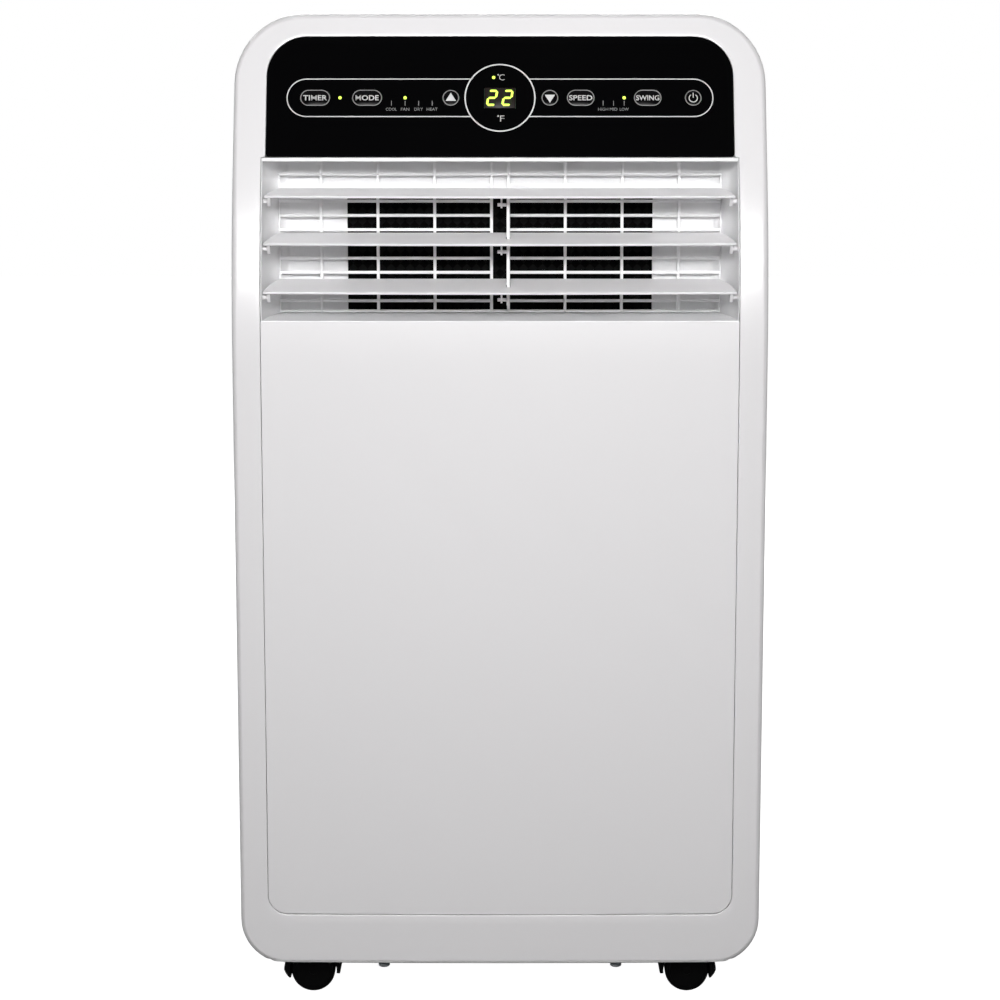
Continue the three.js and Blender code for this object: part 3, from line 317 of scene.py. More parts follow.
def drift_group():
    """Slow drift of colour and of roughness over a moulding, as from handling and flow of the plastic."""
    group, enter, leave = new_group("tone_drift", [
        ("Colour", "NodeSocketColor", (0.8, 0.8, 0.8, 1)), ("Shade", "NodeSocketColor", (0.7, 0.7, 0.7, 1)),
        ("Scale", "NodeSocketFloat", 7.0), ("Rough Low", "NodeSocketFloat", 0.2),
        ("Rough High", "NodeSocketFloat", 0.3)],
        [("Colour", "NodeSocketColor"), ("Roughness", "NodeSocketFloat")])
    nodes, link = group.nodes, group.links.new
    place = nodes.new("ShaderNodeTexCoord")
    noise = nodes.new("ShaderNodeTexNoise")
    noise.inputs["Detail"].default_value = 4.0
    mix = nodes.new("ShaderNodeMix")
    mix.data_type = "RGBA"
    span = nodes.new("ShaderNodeMapRange")
    span.inputs["From Min"].default_value = 0.3
    span.inputs["From Max"].default_value = 0.7
    link(place.outputs["Object"], noise.inputs["Vector"])
    link(enter.outputs["Scale"], noise.inputs["Scale"])
    link(noise.outputs["Fac"], mix.inputs[0])
    link(enter.outputs["Colour"], mix.inputs[6])
    link(enter.outputs["Shade"], mix.inputs[7])
    link(noise.outputs["Fac"], span.inputs["Value"])
    link(enter.outputs["Rough Low"], span.inputs["To Min"])
    link(enter.outputs["Rough High"], span.inputs["To Max"])
    link(mix.outputs[2], leave.inputs["Colour"])
    link(span.outputs["Result"], leave.inputs["Roughness"])
    return group


GROUPS = {}


def group_node(tree, name, values):
    """Adds one of the groups to a material, with its input values."""
    if name not in GROUPS:
        GROUPS[name] = {"moulded_grain": grain_group, "tone_drift": drift_group}[name]()
    node = tree.nodes.new("ShaderNodeGroup")
    node.node_tree = GROUPS[name]
    for label, value in values.items():
        node.inputs[label].default_value = value
    return node


def shade_of(colour, amount):
    """A colour darkened by a share, with its alpha."""
    return (*(max(0.0, part * (1 - amount)) for part in colour[:3]), 1)


def finish(name, colour, rough, spread=0.04, metal=0.0, grain=900.0, bump=0.02, drift=0.04, drift_scale=7.0,
           coat=0.0, specular=0.5, glow=None):
    """A moulded, painted or metal finish: drifting colour and roughness with a fine grain."""
    material = bpy.data.materials.new(name)
    material.use_nodes = True
    tree = material.node_tree
    shader = tree.nodes["Principled BSDF"]
    tone = group_node(tree, "tone_drift", {
        "Colour": (*colour, 1), "Shade": shade_of(colour, drift), "Scale": drift_scale,
        "Rough Low": max(0.02, rough - spread), "Rough High": rough + spread})
    tree.links.new(tone.outputs["Colour"], shader.inputs["Base Color"])
    tree.links.new(tone.outputs["Roughness"], shader.inputs["Roughness"])
    shader.inputs["Metallic"].default_value = metal
    shader.inputs["Specular IOR Level"].default_value = specular
    shader.inputs["Coat Weight"].default_value = coat
    shader.inputs["Coat Roughness"].default_value = 0.06
    if glow:
        shader.inputs["Emission Color"].default_value = (*glow[0], 1)
        shader.inputs["Emission Strength"].default_value = glow[1]
    relief = group_node(tree, "moulded_grain", {"Scale": grain})
    rise = tree.nodes.new("ShaderNodeBump")
    rise.inputs["Strength"].default_value = bump
    rise.inputs["Distance"].default_value = 0.0002
    tree.links.new(relief.outputs["Height"], rise.inputs["Height"])
    tree.links.new(rise.outputs["Normal"], shader.inputs["Normal"])
    return material


def diamond_screen():
    """The near-black sheet in the mouth, dimpled with staggered diamonds."""
    material = finish("diamond_screen", (0.006, 0.006, 0.006), 0.6, bump=0.05, specular=0.03)
    tree = material.node_tree
    shader = tree.nodes["Principled BSDF"]
    place = tree.nodes.new("ShaderNodeTexCoord")
    lay = tree.nodes.new("ShaderNodeMapping")
    lay.inputs["Rotation"].default_value = (0, math.radians(45), 0)
    cells = tree.nodes.new("ShaderNodeTexChecker")
    cells.inputs["Scale"].default_value = 210.0
    cells.inputs["Color1"].default_value = (0.0008, 0.0008, 0.0008, 1)
    cells.inputs["Color2"].default_value = (0.007, 0.007, 0.007, 1)
    tree.links.new(place.outputs["Object"], lay.inputs["Vector"])
    tree.links.new(lay.outputs["Vector"], cells.inputs["Vector"])
    tree.links.new(cells.outputs["Color"], shader.inputs["Base Color"])
    return material


def fin_stack():
    """Bright aluminium fins, standing upright and close together."""
    material = finish("fin_stack", (0.62, 0.64, 0.66), 0.38, metal=1.0, grain=300)
    tree = material.node_tree
    shader = tree.nodes["Principled BSDF"]
    place = tree.nodes.new("ShaderNodeTexCoord")
    wave = tree.nodes.new("ShaderNodeTexWave")
    wave.bands_direction = "X"
    wave.inputs["Scale"].default_value = 160.0
    rise = tree.nodes.new("ShaderNodeBump")
    rise.inputs["Strength"].default_value = 0.9
    rise.inputs["Distance"].default_value = 0.0008
    tree.links.new(place.outputs["Object"], wave.inputs["Vector"])
    tree.links.new(wave.outputs["Fac"], rise.inputs["Height"])
    tree.links.new(rise.outputs["Normal"], shader.inputs["Normal"])
    return material


def smoked_glass():
    """Nearly black glass over the display."""
    material = bpy.data.materials.new("smoked_window")
    material.use_nodes = True
    tree = material.node_tree
    shader = tree.nodes["Principled BSDF"]
    tone = group_node(tree, "tone_drift", {"Colour": (0.02, 0.02, 0.022, 1), "Shade": (0.014, 0.014, 0.016, 1),
                                           "Rough Low": 0.06, "Rough High": 0.1})
    tree.links.new(tone.outputs["Colour"], shader.inputs["Base Color"])
    tree.links.new(tone.outputs["Roughness"], shader.inputs["Roughness"])
    return material


FINISHES = {}


def make_finishes():
    """Makes every finish under the name of the material slot that wears it, with some extra ones."""
    look = bpy.context.scene.cooler_look
    white = tuple(look.white)
    rear = tuple(look.rear_white)
    FINISHES.update({
        "gloss_white": finish("gloss_white", white, 0.24, 0.03, bump=0.012, drift=0.015, coat=0.25),
        "panel_white": finish("panel_white", white, 0.34, 0.03, bump=0.02, drift=0.015, coat=0.1),
        "satin_white": finish("satin_white", rear, 0.46, 0.05, bump=0.06, grain=1400, drift=0.02),
        # the vent white is set lighter than the front white: painted light for the brightly lit vent recess and grille
        "vent_white": finish("vent_white", tuple(look.vent_white), 0.4, 0.04, bump=0.02, drift=0.015),
        "slat_white": finish("slat_white", (0.88, 0.868, 0.878), 0.4, 0.04, bump=0.02, drift=0.015),
        "black_gloss": finish("black_gloss", (0.0015, 0.0015, 0.0018), 0.14, 0.03, bump=0.004, drift=0.3,
                              specular=0.06),
        "black_plastic": finish("black_plastic", (0.0025, 0.0025, 0.003), 0.42, 0.06, bump=0.08, drift=0.2,
                                specular=0.15),
        "tread_black": finish("tread_black", (0.002, 0.002, 0.0022), 0.35, 0.06, bump=0.05, drift=0.3,
                              specular=0.12),
        "print_grey": finish("print_grey", tuple(look.print_grey), 0.5, 0.04, bump=0.01, drift=0.04),
        "print_dim": finish("print_dim", shade_of(look.print_grey, 0.66)[:3], 0.5, 0.04, bump=0.01, drift=0.04),
        "smoked": smoked_glass(),
        "display_back": finish("display_back", (0.014, 0.010, 0.009), 0.3, 0.04, bump=0.01, drift=0.1,
                               specular=0.1),
        "segment_lit": finish("segment_lit", (0.5, 0.75, 0.05), 0.4, bump=0.01, glow=(tuple(look.segment), look.glow)),
        "segment_dark": finish("segment_dark", (0.012, 0.016, 0.006), 0.4, bump=0.01, specular=0.1),
        "green_board": finish("green_board", (0.03, 0.16, 0.07), 0.45, bump=0.05, drift=0.25),
        "copper": finish("copper", (0.72, 0.36, 0.2), 0.28, 0.08, metal=1.0, drift=0.25),
        "fin": fin_stack(),
        "steel": finish("zinc_steel", (0.55, 0.57, 0.6), 0.34, 0.1, metal=1.0, drift=0.15),
        "black_steel": finish("black_enamel", (0.012, 0.012, 0.013), 0.35, 0.06, bump=0.1, coat=0.3, drift=0.2),
        "grey_plastic": finish("grey_plastic", (0.16, 0.165, 0.17), 0.5, 0.05, bump=0.1),
        "rubber": finish("rubber", (0.012, 0.012, 0.012), 0.75, 0.08, bump=0.2, drift=0.2),
        "foam": finish("foam_lining", (0.015, 0.015, 0.016), 0.9, 0.05, bump=0.5, grain=500),
        "screen": diamond_screen(),
        "dust_mesh": finish("filter_mesh", (0.05, 0.055, 0.06), 0.7, 0.05, bump=0.3, grain=1500),
    })


def dress_frame():
    """Gives every carried-over node the finish of its material slot."""
    slots = {part["node"]: part["material_slot"] for part in frame["record"]["subparts"]}
    for name, obj in frame["nodes"].items():
        finish_name = "screen" if name == "outlet_screen" else slots[name]
        obj.data.materials.clear()
        obj.data.materials.append(FINISHES[finish_name])


# ---------------------------------------------------------------- housing outlines

SIDE_LOW = PANEL[0][2] + 14 * MM            # where the straight sides start
CONTROL_LOW = VENT[1][2] + GROOVE           # where the window narrows to the control panel
WINDOW_RADIUS = 27.5 * MM                   # top corners of the window in the front
ARC_STEPS = 12                              # facets of a rounded corner
FLAT_STEPS = 14                             # parts of the top and of the bottom
SIDE_STEPS = 46                             # parts of a straight side


def levels():
    """Heights of the straight sides, evenly spread but for a close pair where the outline steps in."""
    top = min(TOP - TOP_RADIUS, OVERLAY[1][2] + GROOVE - WINDOW_RADIUS) - 1 * MM
    span = top - SIDE_LOW
    even = [SIDE_LOW + span * i / SIDE_STEPS for i in range(SIDE_STEPS + 1)]
    step = [CONTROL_LOW - 0.3 * MM, CONTROL_LOW + 0.3 * MM]
    return sorted([z for z in even if abs(z - CONTROL_LOW) > 3 * MM] + step)


LEVELS = levels()


def loop(half, low, high, r_low, r_high, narrowing=0.0):
    """Points (x, z, nx, nz) round an upright outline, counter-clockwise from the lower right."""
    def width(z):
        return half - (narrowing if z > CONTROL_LOW else 0.0)
    points = [(width(z), z, 1.0, 0.0) for z in LEVELS]
    top_half = width(high)

    def corner(cx, cz, radius, start):
        for i in range(ARC_STEPS + 1):
            a = math.radians(start + 90 * i / ARC_STEPS)
            points.append((cx + radius * math.cos(a), cz + radius * math.sin(a), math.cos(a), math.sin(a)))

    def straight(x0, x1, z, nz):
        points.extend((x0 + (x1 - x0) * i / FLAT_STEPS, z, 0.0, nz) for i in range(1, FLAT_STEPS))
    corner(top_half - r_high, high - r_high, r_high, 0)
    straight(top_half - r_high, r_high - top_half, high, 1.0)
    corner(r_high - top_half, high - r_high, r_high, 90)
    points.extend((-width(z), z, -1.0, 0.0) for z in reversed(LEVELS))
    corner(r_low - half, low + r_low, r_low, 180)
    straight(r_low - half, half - r_low, low, -1.0)
    corner(half - r_low, low + r_low, r_low, 270)
    return points


def outer_loop():
    """The outline of the whole housing."""
    return loop(HALF, UNDERSIDE, TOP, BOTTOM_RADIUS, TOP_RADIUS)


def eased(side, top, bottom, nx, nz):
    """An edge radius that passes smoothly from the sides to the top or the bottom."""
    end = top if nz > 0 else bottom
    return side * nx * nx + end * nz * nz


RIM = (4 * MM, 4.5 * MM, 4.5 * MM)          # front edge rounding: sides, top, bottom
HEEL = (30 * MM, 24 * MM, 7 * MM)           # rear edge rounding


def rim_ring(loop_points, turn):
    """One ring of the front edge rounding; turn runs from 0 on the face to 1 on the side."""
    angle = math.pi / 2 * turn
    ring = []
    for x, z, nx, nz in loop_points:
        radius = eased(*RIM, nx, nz)
        inward = radius * (1 - math.sin(angle))
        px, pz = x - nx * inward, z - nz * inward
        ring.append(on_front(px, pz, radius * (1 - math.cos(angle))))
    return ring


def side_ring(loop_points, fraction, inset=0.0):
    """A ring along the side, from behind the front edge to the seam."""
    ring = []
    for x, z, nx, nz in loop_points:
        start = on_front(x, z, eased(*RIM, nx, nz)).y
        ring.append(Vector((x - nx * inset, start + (SEAM - start) * fraction, z - nz * inset)))
    return ring


def window_loop():
    """The outline of the window that holds the lower panel, the vent and the control panel."""
    return loop(PANEL[1][0] + GROOVE, PANEL[0][2] - GROOVE, OVERLAY[1][2] + GROOVE, 14 * MM, WINDOW_RADIUS,
                PANEL[1][0] - OVERLAY[1][0])


def cut_foot(obj):
    """Ends a housing piece above the rim of the base tray."""
    below = bmesh.new()
    bar(below, (-1, -1, -1), (1, 1, FOOT))
    carve(obj, [loose(below)])
    smooth_faces(obj, 38)


def front_frame():
    """The glossy ring round the front: face, rolled outer edge, sides back to the seam, and its inner wall."""
    outer = outer_loop()
    window = window_loop()
    lip = 0.7 * MM
    face = []
    for (wx, wz, wnx, wnz), (ox, oz, nx, nz) in zip(window, outer):
        radius = eased(*RIM, nx, nz)
        face.append(((wx + wnx * lip, wz + wnz * lip), (ox - nx * radius, oz - nz * radius)))
    rings = [[on_front(x, z, WALL + 1 * MM) for x, z, _, _ in window],
             [on_front(x, z, lip) for x, z, _, _ in window],
             [on_front(x + nx * lip * 0.3, z + nz * lip * 0.3, lip * 0.3) for x, z, nx, nz in window]]
    for share in (0.0, 0.2, 0.4, 0.6, 0.8):
        rings.append([on_front(a[0] + (b[0] - a[0]) * share, a[1] + (b[1] - a[1]) * share) for a, b in face])
    rings += [rim_ring(outer, turn) for turn in (0, 0.05, 0.12, 0.2, 0.8, 0.88, 0.95, 1)]
    rings += [side_ring(outer, f) for f in (0.12, 0.3, 0.55, 0.8, 0.985)]
    rings += [side_ring(outer, 1.0, 0.4 * MM), side_ring(outer, 1.0, WALL)]
    rings += [side_ring(outer, f, WALL) for f in (0.5, 0.1)]
    ring = piece("front_ring", ring_solid(rings, closed=True), finish=FINISHES["gloss_white"],
                 replaces=["front_frame"])
    cut_foot(ring)


def panel_rows(half_at, low, high, count, sink=0.0, extra=()):
    """Rows across a fitted panel, following the front, each as wide as the outline is there."""
    across = 28
    heights = sorted([low + (high - low) * i / count for i in range(count + 1)] + list(extra))
    rows = []
    for z in heights:
        half = half_at(z)
        rows.append([on_front(half * (2 * i / across - 1), z, sink) for i in range(across + 1)])
    return rows


def corner_half(half, edge, radius, z):
    """Half width near a rounded edge."""
    rise = radius - abs(z - edge)
    return half if rise <= 0 else half - radius + math.sqrt(max(0.0, radius ** 2 - rise ** 2))


def corner_heights(edge, radius, way, count=10):
    """Heights that follow a rounded corner up (1) or down (-1) from an edge."""
    return [edge + way * radius * (1 - math.cos(math.pi / 2 * i / count)) for i in range(1, count + 1)]


def lower_panel():
    """The crowned lower front panel."""
    low, high = PANEL[0][2] + 0.45 * MM, PANEL[1][2]
    radius = 13.6 * MM
    half = PANEL[1][0]
    rows = panel_rows(lambda z: corner_half(half, low, radius, z), low, high, 40,
                      extra=corner_heights(low, radius, 1))
    obj = piece("lower_front_panel", sheet_solid(rows, 3 * MM), finish=FINISHES["panel_white"],
                replaces=["front_panel"], smooth=30)
    bevelled(obj, 0.9 * MM)


def rear_shell_rings():
    """Rings from the seam to the flat back, rolled over the rear edges."""
    outer = outer_loop()
    start = SEAM + GROOVE

    def ring(y, inset_of):
        return [Vector((x - nx * inset_of(nx, nz), y(nx, nz) if callable(y) else y, z - nz * inset_of(nx, nz)))
                for x, z, nx, nz in outer]

    def roll(turn, wall):
        angle = math.pi / 2 * turn

        def inset(nx, nz):
            radius = eased(*HEEL, nx, nz)
            return radius - (radius - wall) * math.cos(angle)

        def depth(nx, nz):
            radius = eased(*HEEL, nx, nz)
            return BACK - radius + (radius - wall) * math.sin(angle)
        return ring(depth, inset)
    edge = 0.5 * MM
    rings = [ring(start, lambda nx, nz: WALL), ring(start, lambda nx, nz: edge),
             ring(start + edge, lambda nx, nz: 0.0)]
    for share in (0.35, 0.7):
        rings.append(ring(start + (BACK - 34 * MM - start) * share, lambda nx, nz: 0.0))
    rings += [roll(i / 10, 0.0) for i in range(11)]
    inside = [roll(i / 6, WALL) for i in range(7)]
    return rings, inside


GRIP = {"y": (-30 * MM, 82 * MM), "z": (545 * MM, 571 * MM), "deep": 22 * MM}


def rear_housing():
    """The rear shell, open at the seam, with its intakes, ports and two finger grips."""
    rings, inside = rear_shell_rings()
    bm = bmesh.new()
    last = extrude_rings(bm, rings)
    bmesh.ops.edgeloop_fill(bm, edges=last)
    last = extrude_rings(bm, [rings[0]] + inside)
    bmesh.ops.edgeloop_fill(bm, edges=last)
    tidy(bm, 1e-6)
    shell = piece("rear_housing", bm, finish=FINISHES["satin_white"],
                  replaces=["rear_shell"], smooth=35)
    cutters = []
    for node in ("upper_filter", "lower_filter"):
        low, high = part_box(node)
        cutters.append(loose(rounded_block((low[0] - GROOVE, BACK - 6 * MM, low[2] - GROOVE),
                                           (high[0] + GROOVE, BACK + 4 * MM, high[2] + GROOVE), 1, 8 * MM)))
    cutters.append(loose(port_cutter(middle_of(*COLLAR), 66.4 * MM)))
    for node, radius in (("drain_plug_upper", 9 * MM), ("drain_plug_lower", 9 * MM), ("cord_gland", 9.3 * MM)):
        low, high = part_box(node)
        cutters.append(loose(port_cutter(middle_of(low, high), radius)))
    for side in (-1, 1):
        cutters.append(loose(grip_block(side, 2 * MM)))
    carve(shell, cutters)
    cut_foot(shell)
    for side, name in ((-1, "grip_cup_left"), (1, "grip_cup_right")):
        grip_cup(side, name)


def port_cutter(centre, radius):
    """A round cutter through the back."""
    return spun([(0, -8 * MM), (radius, -8 * MM), (radius, 8 * MM), (0, 8 * MM)], "y",
                (centre[0], BACK, centre[2]), steps=72)


def rounded_block(low, high, axis, radius):
    """A block with the four edges along one axis rounded."""
    bm = bmesh.new()
    verts = bar(bm, low, high)
    along = [e for v in verts for e in v.link_edges if abs(e.verts[0].co[axis] - e.verts[1].co[axis]) > 1e-6]
    bmesh.ops.bevel(bm, geom=list(set(along)), offset=radius, offset_type="OFFSET", segments=8, profile=0.5,
                    affect="EDGES", material=-1)
    return tidy(bm)


def grip_block(side, out):
    """The space of one finger grip, rounded at its ends and reaching out past the side."""
    x0, x1 = sorted((side * (HALF - GRIP["deep"]), side * (HALF + out)))
    return rounded_block((x0, GRIP["y"][0], GRIP["z"][0]), (x1, GRIP["y"][1], GRIP["z"][1]), 0, 9 * MM)


def grip_cup(side, name):
    """The cup moulded behind one grip opening."""
    bm = grip_block(side, -1 * MM)
    mouth = [f for f in bm.faces if f.normal.x * side > 0.9]
    bmesh.ops.delete(bm, geom=mouth, context="FACES")
    bmesh.ops.reverse_faces(bm, faces=bm.faces)
    bmesh.ops.solidify(bm, geom=bm.faces, thickness=-1.8 * MM)
    bmesh.ops.recalc_face_normals(bm, faces=bm.faces)
    piece(name, bm, finish=FINISHES["satin_white"], smooth=35)


# ---------------------------------------------------------------- vent

SLATS = {"slat_top": 125.7 * MM, "slat_middle": 158 * MM, "slat_bottom": 191.1 * MM}
SLAT_TILT = math.radians(8)
SLAT_BACK = 52 * MM
VENT_DEEP = 62 * MM
VENT_TAPER = 16 * MM
VENT_HALF = PANEL[1][0] + GROOVE - 1.1 * MM
VENT_FLOOR = TOP - 210.7 * MM
VENT_CEILING = TOP - 102 * MM
FLOOR_RISE = 2.2 * MM
CEILING_FALL = 0.2 * MM
LINK_IN, LINK_DOWN = 25 * MM, 6.4 * MM
PIVOT_IN, PIVOT_DOWN = 10 * MM, 3.6 * MM


def vent_half(depth):
    """Half width of the recess at a depth; its side walls curve in towards the back."""
    return VENT_HALF - VENT_TAPER * (1 - math.sqrt(max(0.0, 1 - (max(depth, 0.0) / VENT_DEEP) ** 2)))


def vent_recess():
    """The white recess: flange, curved side walls, floor, ceiling and back wall with the air mouth."""
    low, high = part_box("outlet_screen")
    wall, steps = 2.2 * MM, 18
    mouth = (high[0], low[2], high[2])
    back = FRONT + VENT_DEEP
    shares = [math.sin(math.pi / 2 * i / steps) for i in range(steps + 1)]

    def hollow(share, grow=0.0):
        return (vent_half(VENT_DEEP * share) + grow, VENT_FLOOR + FLOOR_RISE * share - grow,
                VENT_CEILING - CEILING_FALL * share + grow)

    def deep(out, share):
        def at(x, z):
            lip = front_lip(x, z, 0.35 * MM)
            return lip + (back - lip) * share
        return outline_ring(out, at)
    flange = (PANEL[1][0], VENT_FLOOR - 2.2 * MM, VENT[1][2])
    eased_lip = (VENT_HALF + 0.35 * MM, VENT_FLOOR, VENT_CEILING + 0.35 * MM)
    rings = [outline_ring(flange, lambda x, z: front_lip(x, z, 2.6 * MM)),
             outline_ring(flange, lambda x, z: front_lip(x, z, 0.3 * MM)),
             outline_ring(tuple(a - b for a, b in zip(flange, (0.3 * MM, 0, 0.3 * MM))),
                          lambda x, z: front_lip(x, z, 0.0)),
             outline_ring(eased_lip, lambda x, z: front_lip(x, z, 0.0)),
             outline_ring(hollow(0), lambda x, z: front_lip(x, z, 0.35 * MM))]
    rings += [deep(hollow(share), share) for share in shares[1:]]
    rings += [outline_ring(mouth, lambda x, z: back), outline_ring(mouth, lambda x, z: back + wall),
              outline_ring(hollow(1.0, wall), lambda x, z: back + wall)]
    rings += [deep(hollow(share, wall), share) for share in reversed(shares[3:])]
    # its white is lighter than the front white, which paints in the light that fills the recess
    piece("vent_recess", ring_solid(rings, closed=True), finish=FINISHES["vent_white"],
          replaces=["vent_surround"], smooth=40)


def front_lip(x, z, sink):
    """How far forward the recess comes: to the face, but behind the lower panel's thickness on its floor."""
    return on_front(x, z, sink + (3.35 * MM if z < VENT_FLOOR + 0.1 * MM else 0.3 * MM)).y


def outline_ring(out, at):
    """One outline (half width, low, high) of the recess, from corner to corner, at a depth."""
    half, low, high = out
    across, up = 20, 12
    corners = [(-half, low), (half, low), (half, high), (-half, high)]
    points = []
    for (x0, z0), (x1, z1), count in zip(corners, corners[1:] + corners[:1], (across, up, across, up)):
        points += [(x0 + (x1 - x0) * i / count, z0 + (z1 - z0) * i / count) for i in range(count)]
    return [Vector((x, at(x, z), z)) for x, z in points]


def slat(name, drop):
    """A crowned slat with rounded edges, two end ears with pins, and the tab that holds its link pin."""
    z = TOP - drop
    y = on_front(0, z).y
    reach = (SLAT_BACK - setback(z)) / math.cos(SLAT_TILT)
    thick = 1.6 * MM
    across, along = 48, 10

    def row(share, top):
        depth = reach * math.sin(math.pi / 2 * share)
        half = vent_half(setback(z) + depth + 3 * MM) - 1 * MM - (2.5 * MM if share == 1 else 0)
        points = []
        for i in range(across + 1):
            x = half * (2 * i / across - 1)
            crown = CROWN * (x / HALF) ** 2 * (1 - share) + 0.6 * MM * (1 - share)
            rise = -thick if not top else 0.0
            run = depth + crown
            points.append(Vector((x, y + run * math.cos(SLAT_TILT) - rise * math.sin(SLAT_TILT),
                                  z + run * math.sin(SLAT_TILT) + rise * math.cos(SLAT_TILT))))
        return points
    bm = bmesh.new()
    rows = [row(i / along, True) for i in range(along + 1)] + [row(i / along, False) for i in range(along, -1, -1)]
    rings = [list(points) for points in zip(*rows)]
    extrude_rings(bm, rings)
    fill_holes(bm)
    tidy(bm, 1e-7)
    round_edges(bm, 0.5 * MM, 3, angle=50)
    blade = piece(name + "_blade", bm, body=name, finish=FINISHES["slat_white"],
                  replaces=[name], smooth=35)
    if name != "slat_top":
        low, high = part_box("louvre_link")
        gate = bmesh.new()
        middle = (low[0] + high[0]) / 2
        bar(gate, (middle - 1.5 * MM, y + LINK_IN - 6 * MM, z - 4 * MM),
            (middle + 1.5 * MM, y + LINK_IN + 10.5 * MM, z + 12 * MM))
        carve(blade, [loose(gate)])
        smooth_faces(blade, 35)
    slat_fittings(name, y, z)


def slat_fittings(name, y, z):
    """The end ears, the pivot pins, the link tab and its pin of one slat."""
    bm = bmesh.new()
    edge = PANEL[1][0] + GROOVE
    ear = [(4.5, -0.6), (18, 1.4), (14.2, -5.2), (12.4, -7), (9.2, -7), (7.2, -5.4)]
    for side in (-1, 1):
        x = side * (edge - 5.5 * MM)
        extrude_plate(bm, [(y + a * MM, z + b * MM) for a, b in ear], x - 1.1 * MM, x + 1.1 * MM)
        add_pin(bm, 1.5 * MM, x, side * (edge + 2.4 * MM), y + PIVOT_IN, z - PIVOT_DOWN)
    tab = [(21, 1.9), (29, 2.9), (28.2, -5.2), (26.6, -8.4), (25, -8.8), (23.4, -8.4), (21.8, -5.2)]
    extrude_plate(bm, [(y + a * MM, z + b * MM) for a, b in tab], 0.4 * MM, 1.7 * MM)
    round_edges(bm, 0.25 * MM, 2, angle=50)
    add_pin(bm, 1.2 * MM, -1.8 * MM, 6.4 * MM, y + LINK_IN, z - LINK_DOWN)
    piece(name + "_fittings", bm, body=name, finish=FINISHES["slat_white"], smooth=35)


def extrude_plate(bm, points, x0, x1):
    """A flat plate in y and z between two places across."""
    verts = [bm.verts.new((x0, py, pz)) for py, pz in points]
    face = bm.faces.new(verts)
    made = bmesh.ops.extrude_face_region(bm, geom=[face])["geom"]
    bmesh.ops.translate(bm, vec=(x1 - x0, 0, 0), verts=[v for v in made if isinstance(v, bmesh.types.BMVert)])
    bmesh.ops.recalc_face_normals(bm, faces=bm.faces)


def rod(bm, radius, length, centre, turned=None, steps=24):
    """Adds a plain rod about a centre: upright, or turned about an axis to lie down."""
    matrix = Matrix.Translation(centre)
    if turned:
        matrix = matrix @ Matrix.Rotation(math.pi / 2, 4, turned)
    return bmesh.ops.create_cone(bm, cap_ends=True, segments=steps, radius1=radius, radius2=radius, depth=length,
                                 matrix=matrix)["verts"]


def add_pin(bm, radius, x0, x1, y, z):
    """Adds a pin along X with rounded ends."""
    made = rod(bm, radius, abs(x1 - x0), ((x0 + x1) / 2, y, z), "Y")
    caps = [e for v in made for e in v.link_edges
            if len(e.link_faces) == 2 and any(len(f.verts) > 4 for f in e.link_faces)]
    bmesh.ops.bevel(bm, geom=list(set(caps)), offset=radius * 0.3, offset_type="OFFSET", segments=2, profile=0.5,
                    affect="EDGES", material=-1)


def slat_link():
    """The upright bar that ties the three slats together."""
    low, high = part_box("louvre_link")
    pins = [(on_front(0, TOP - drop).y + LINK_IN, TOP - drop - LINK_DOWN) for drop in SLATS.values()]
    half = 2.4 * MM
    path = [(pins[0][0], high[2])] + pins + [(pins[2][0], low[2])]
    bm = bmesh.new()
    strip = [(a - half, b) for a, b in path] + [(a + half, b) for a, b in reversed(path)]
    middle = (low[0] + high[0]) / 2
    extrude_plate(bm, strip, middle - 1.1 * MM, middle + 1.1 * MM)
    round_edges(bm, 0.5 * MM, 3, angle=50)
    link = piece("slat_link", bm, body="louvre_link", finish=FINISHES["slat_white"],
                 replaces=["louvre_link"], smooth=35)
    cutters = []
    for a, b in pins:
        hole = bmesh.new()
        rod(hole, 1.9 * MM, 12 * MM, (middle, a, b), "Y")
        cutters.append(loose(hole))
    carve(link, cutters)


def outlet_bars():
    """The fine grille behind the slats: rounded upright and level bars in a slim frame."""
    low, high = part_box("outlet_grille")
    bar_half = 1.05 * MM
    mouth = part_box("outlet_screen")
    columns = [s * (6 + 40 * i) * MM for s in (-1, 1) for i in range(4)]
    lintel = mouth[1][2] + bar_half
    bm = bmesh.new()
    for x in sorted(columns):
        bar(bm, (x - bar_half, low[1], low[2]), (x + bar_half, high[1] - 0.3 * MM, VENT_CEILING - 0.6 * MM))
    rows = [lintel - 10 * MM * i for i in range(9)]
    for z in rows + [lintel + bar_half]:
        for x0, x1 in ((low[0], -6 * MM), (6 * MM, high[0])):
            bar(bm, (x0, low[1] + 0.2 * MM, z - bar_half), (x1, high[1] - 0.5 * MM, z + bar_half))
    for x in (low[0], high[0]):
        inner = x - 1 * MM * (1 if x > 0 else -1)
        bar(bm, (min(x, inner), low[1], low[2]), (max(x, inner), high[1], high[2]))
    for z, way in ((low[2], 1), (high[2], -1)):
        bar(bm, (low[0], low[1], min(z, z + way * 1.5 * MM)), (high[0], high[1], max(z, z + way * 1.5 * MM)))
    round_edges(bm, 0.45 * MM, 2)
    # the grille shares the lighter vent white, painted light for the bright recess
    piece("outlet_bars", bm, finish=FINISHES["vent_white"], replaces=["outlet_grille"], smooth=35)


# ---------------------------------------------------------------- control panel

KEY_ROW = 52.4 * MM
KEY_TALL = 12.4 * MM
ROUND_KEY = 12.2 * MM           # a key with no length of its own is round
LIFT = -0.4 * MM                # overlay face behind the housing face
KEYS = {"key_timer": (-128.3, 21.4), "key_mode": (-92.2, 21.4), "key_up": (-34.1, 0), "key_down": (34.6, 0),
        "key_speed": (56, 19.8), "key_swing": (102.5, 19.8), "key_power": (134.1, 0)}


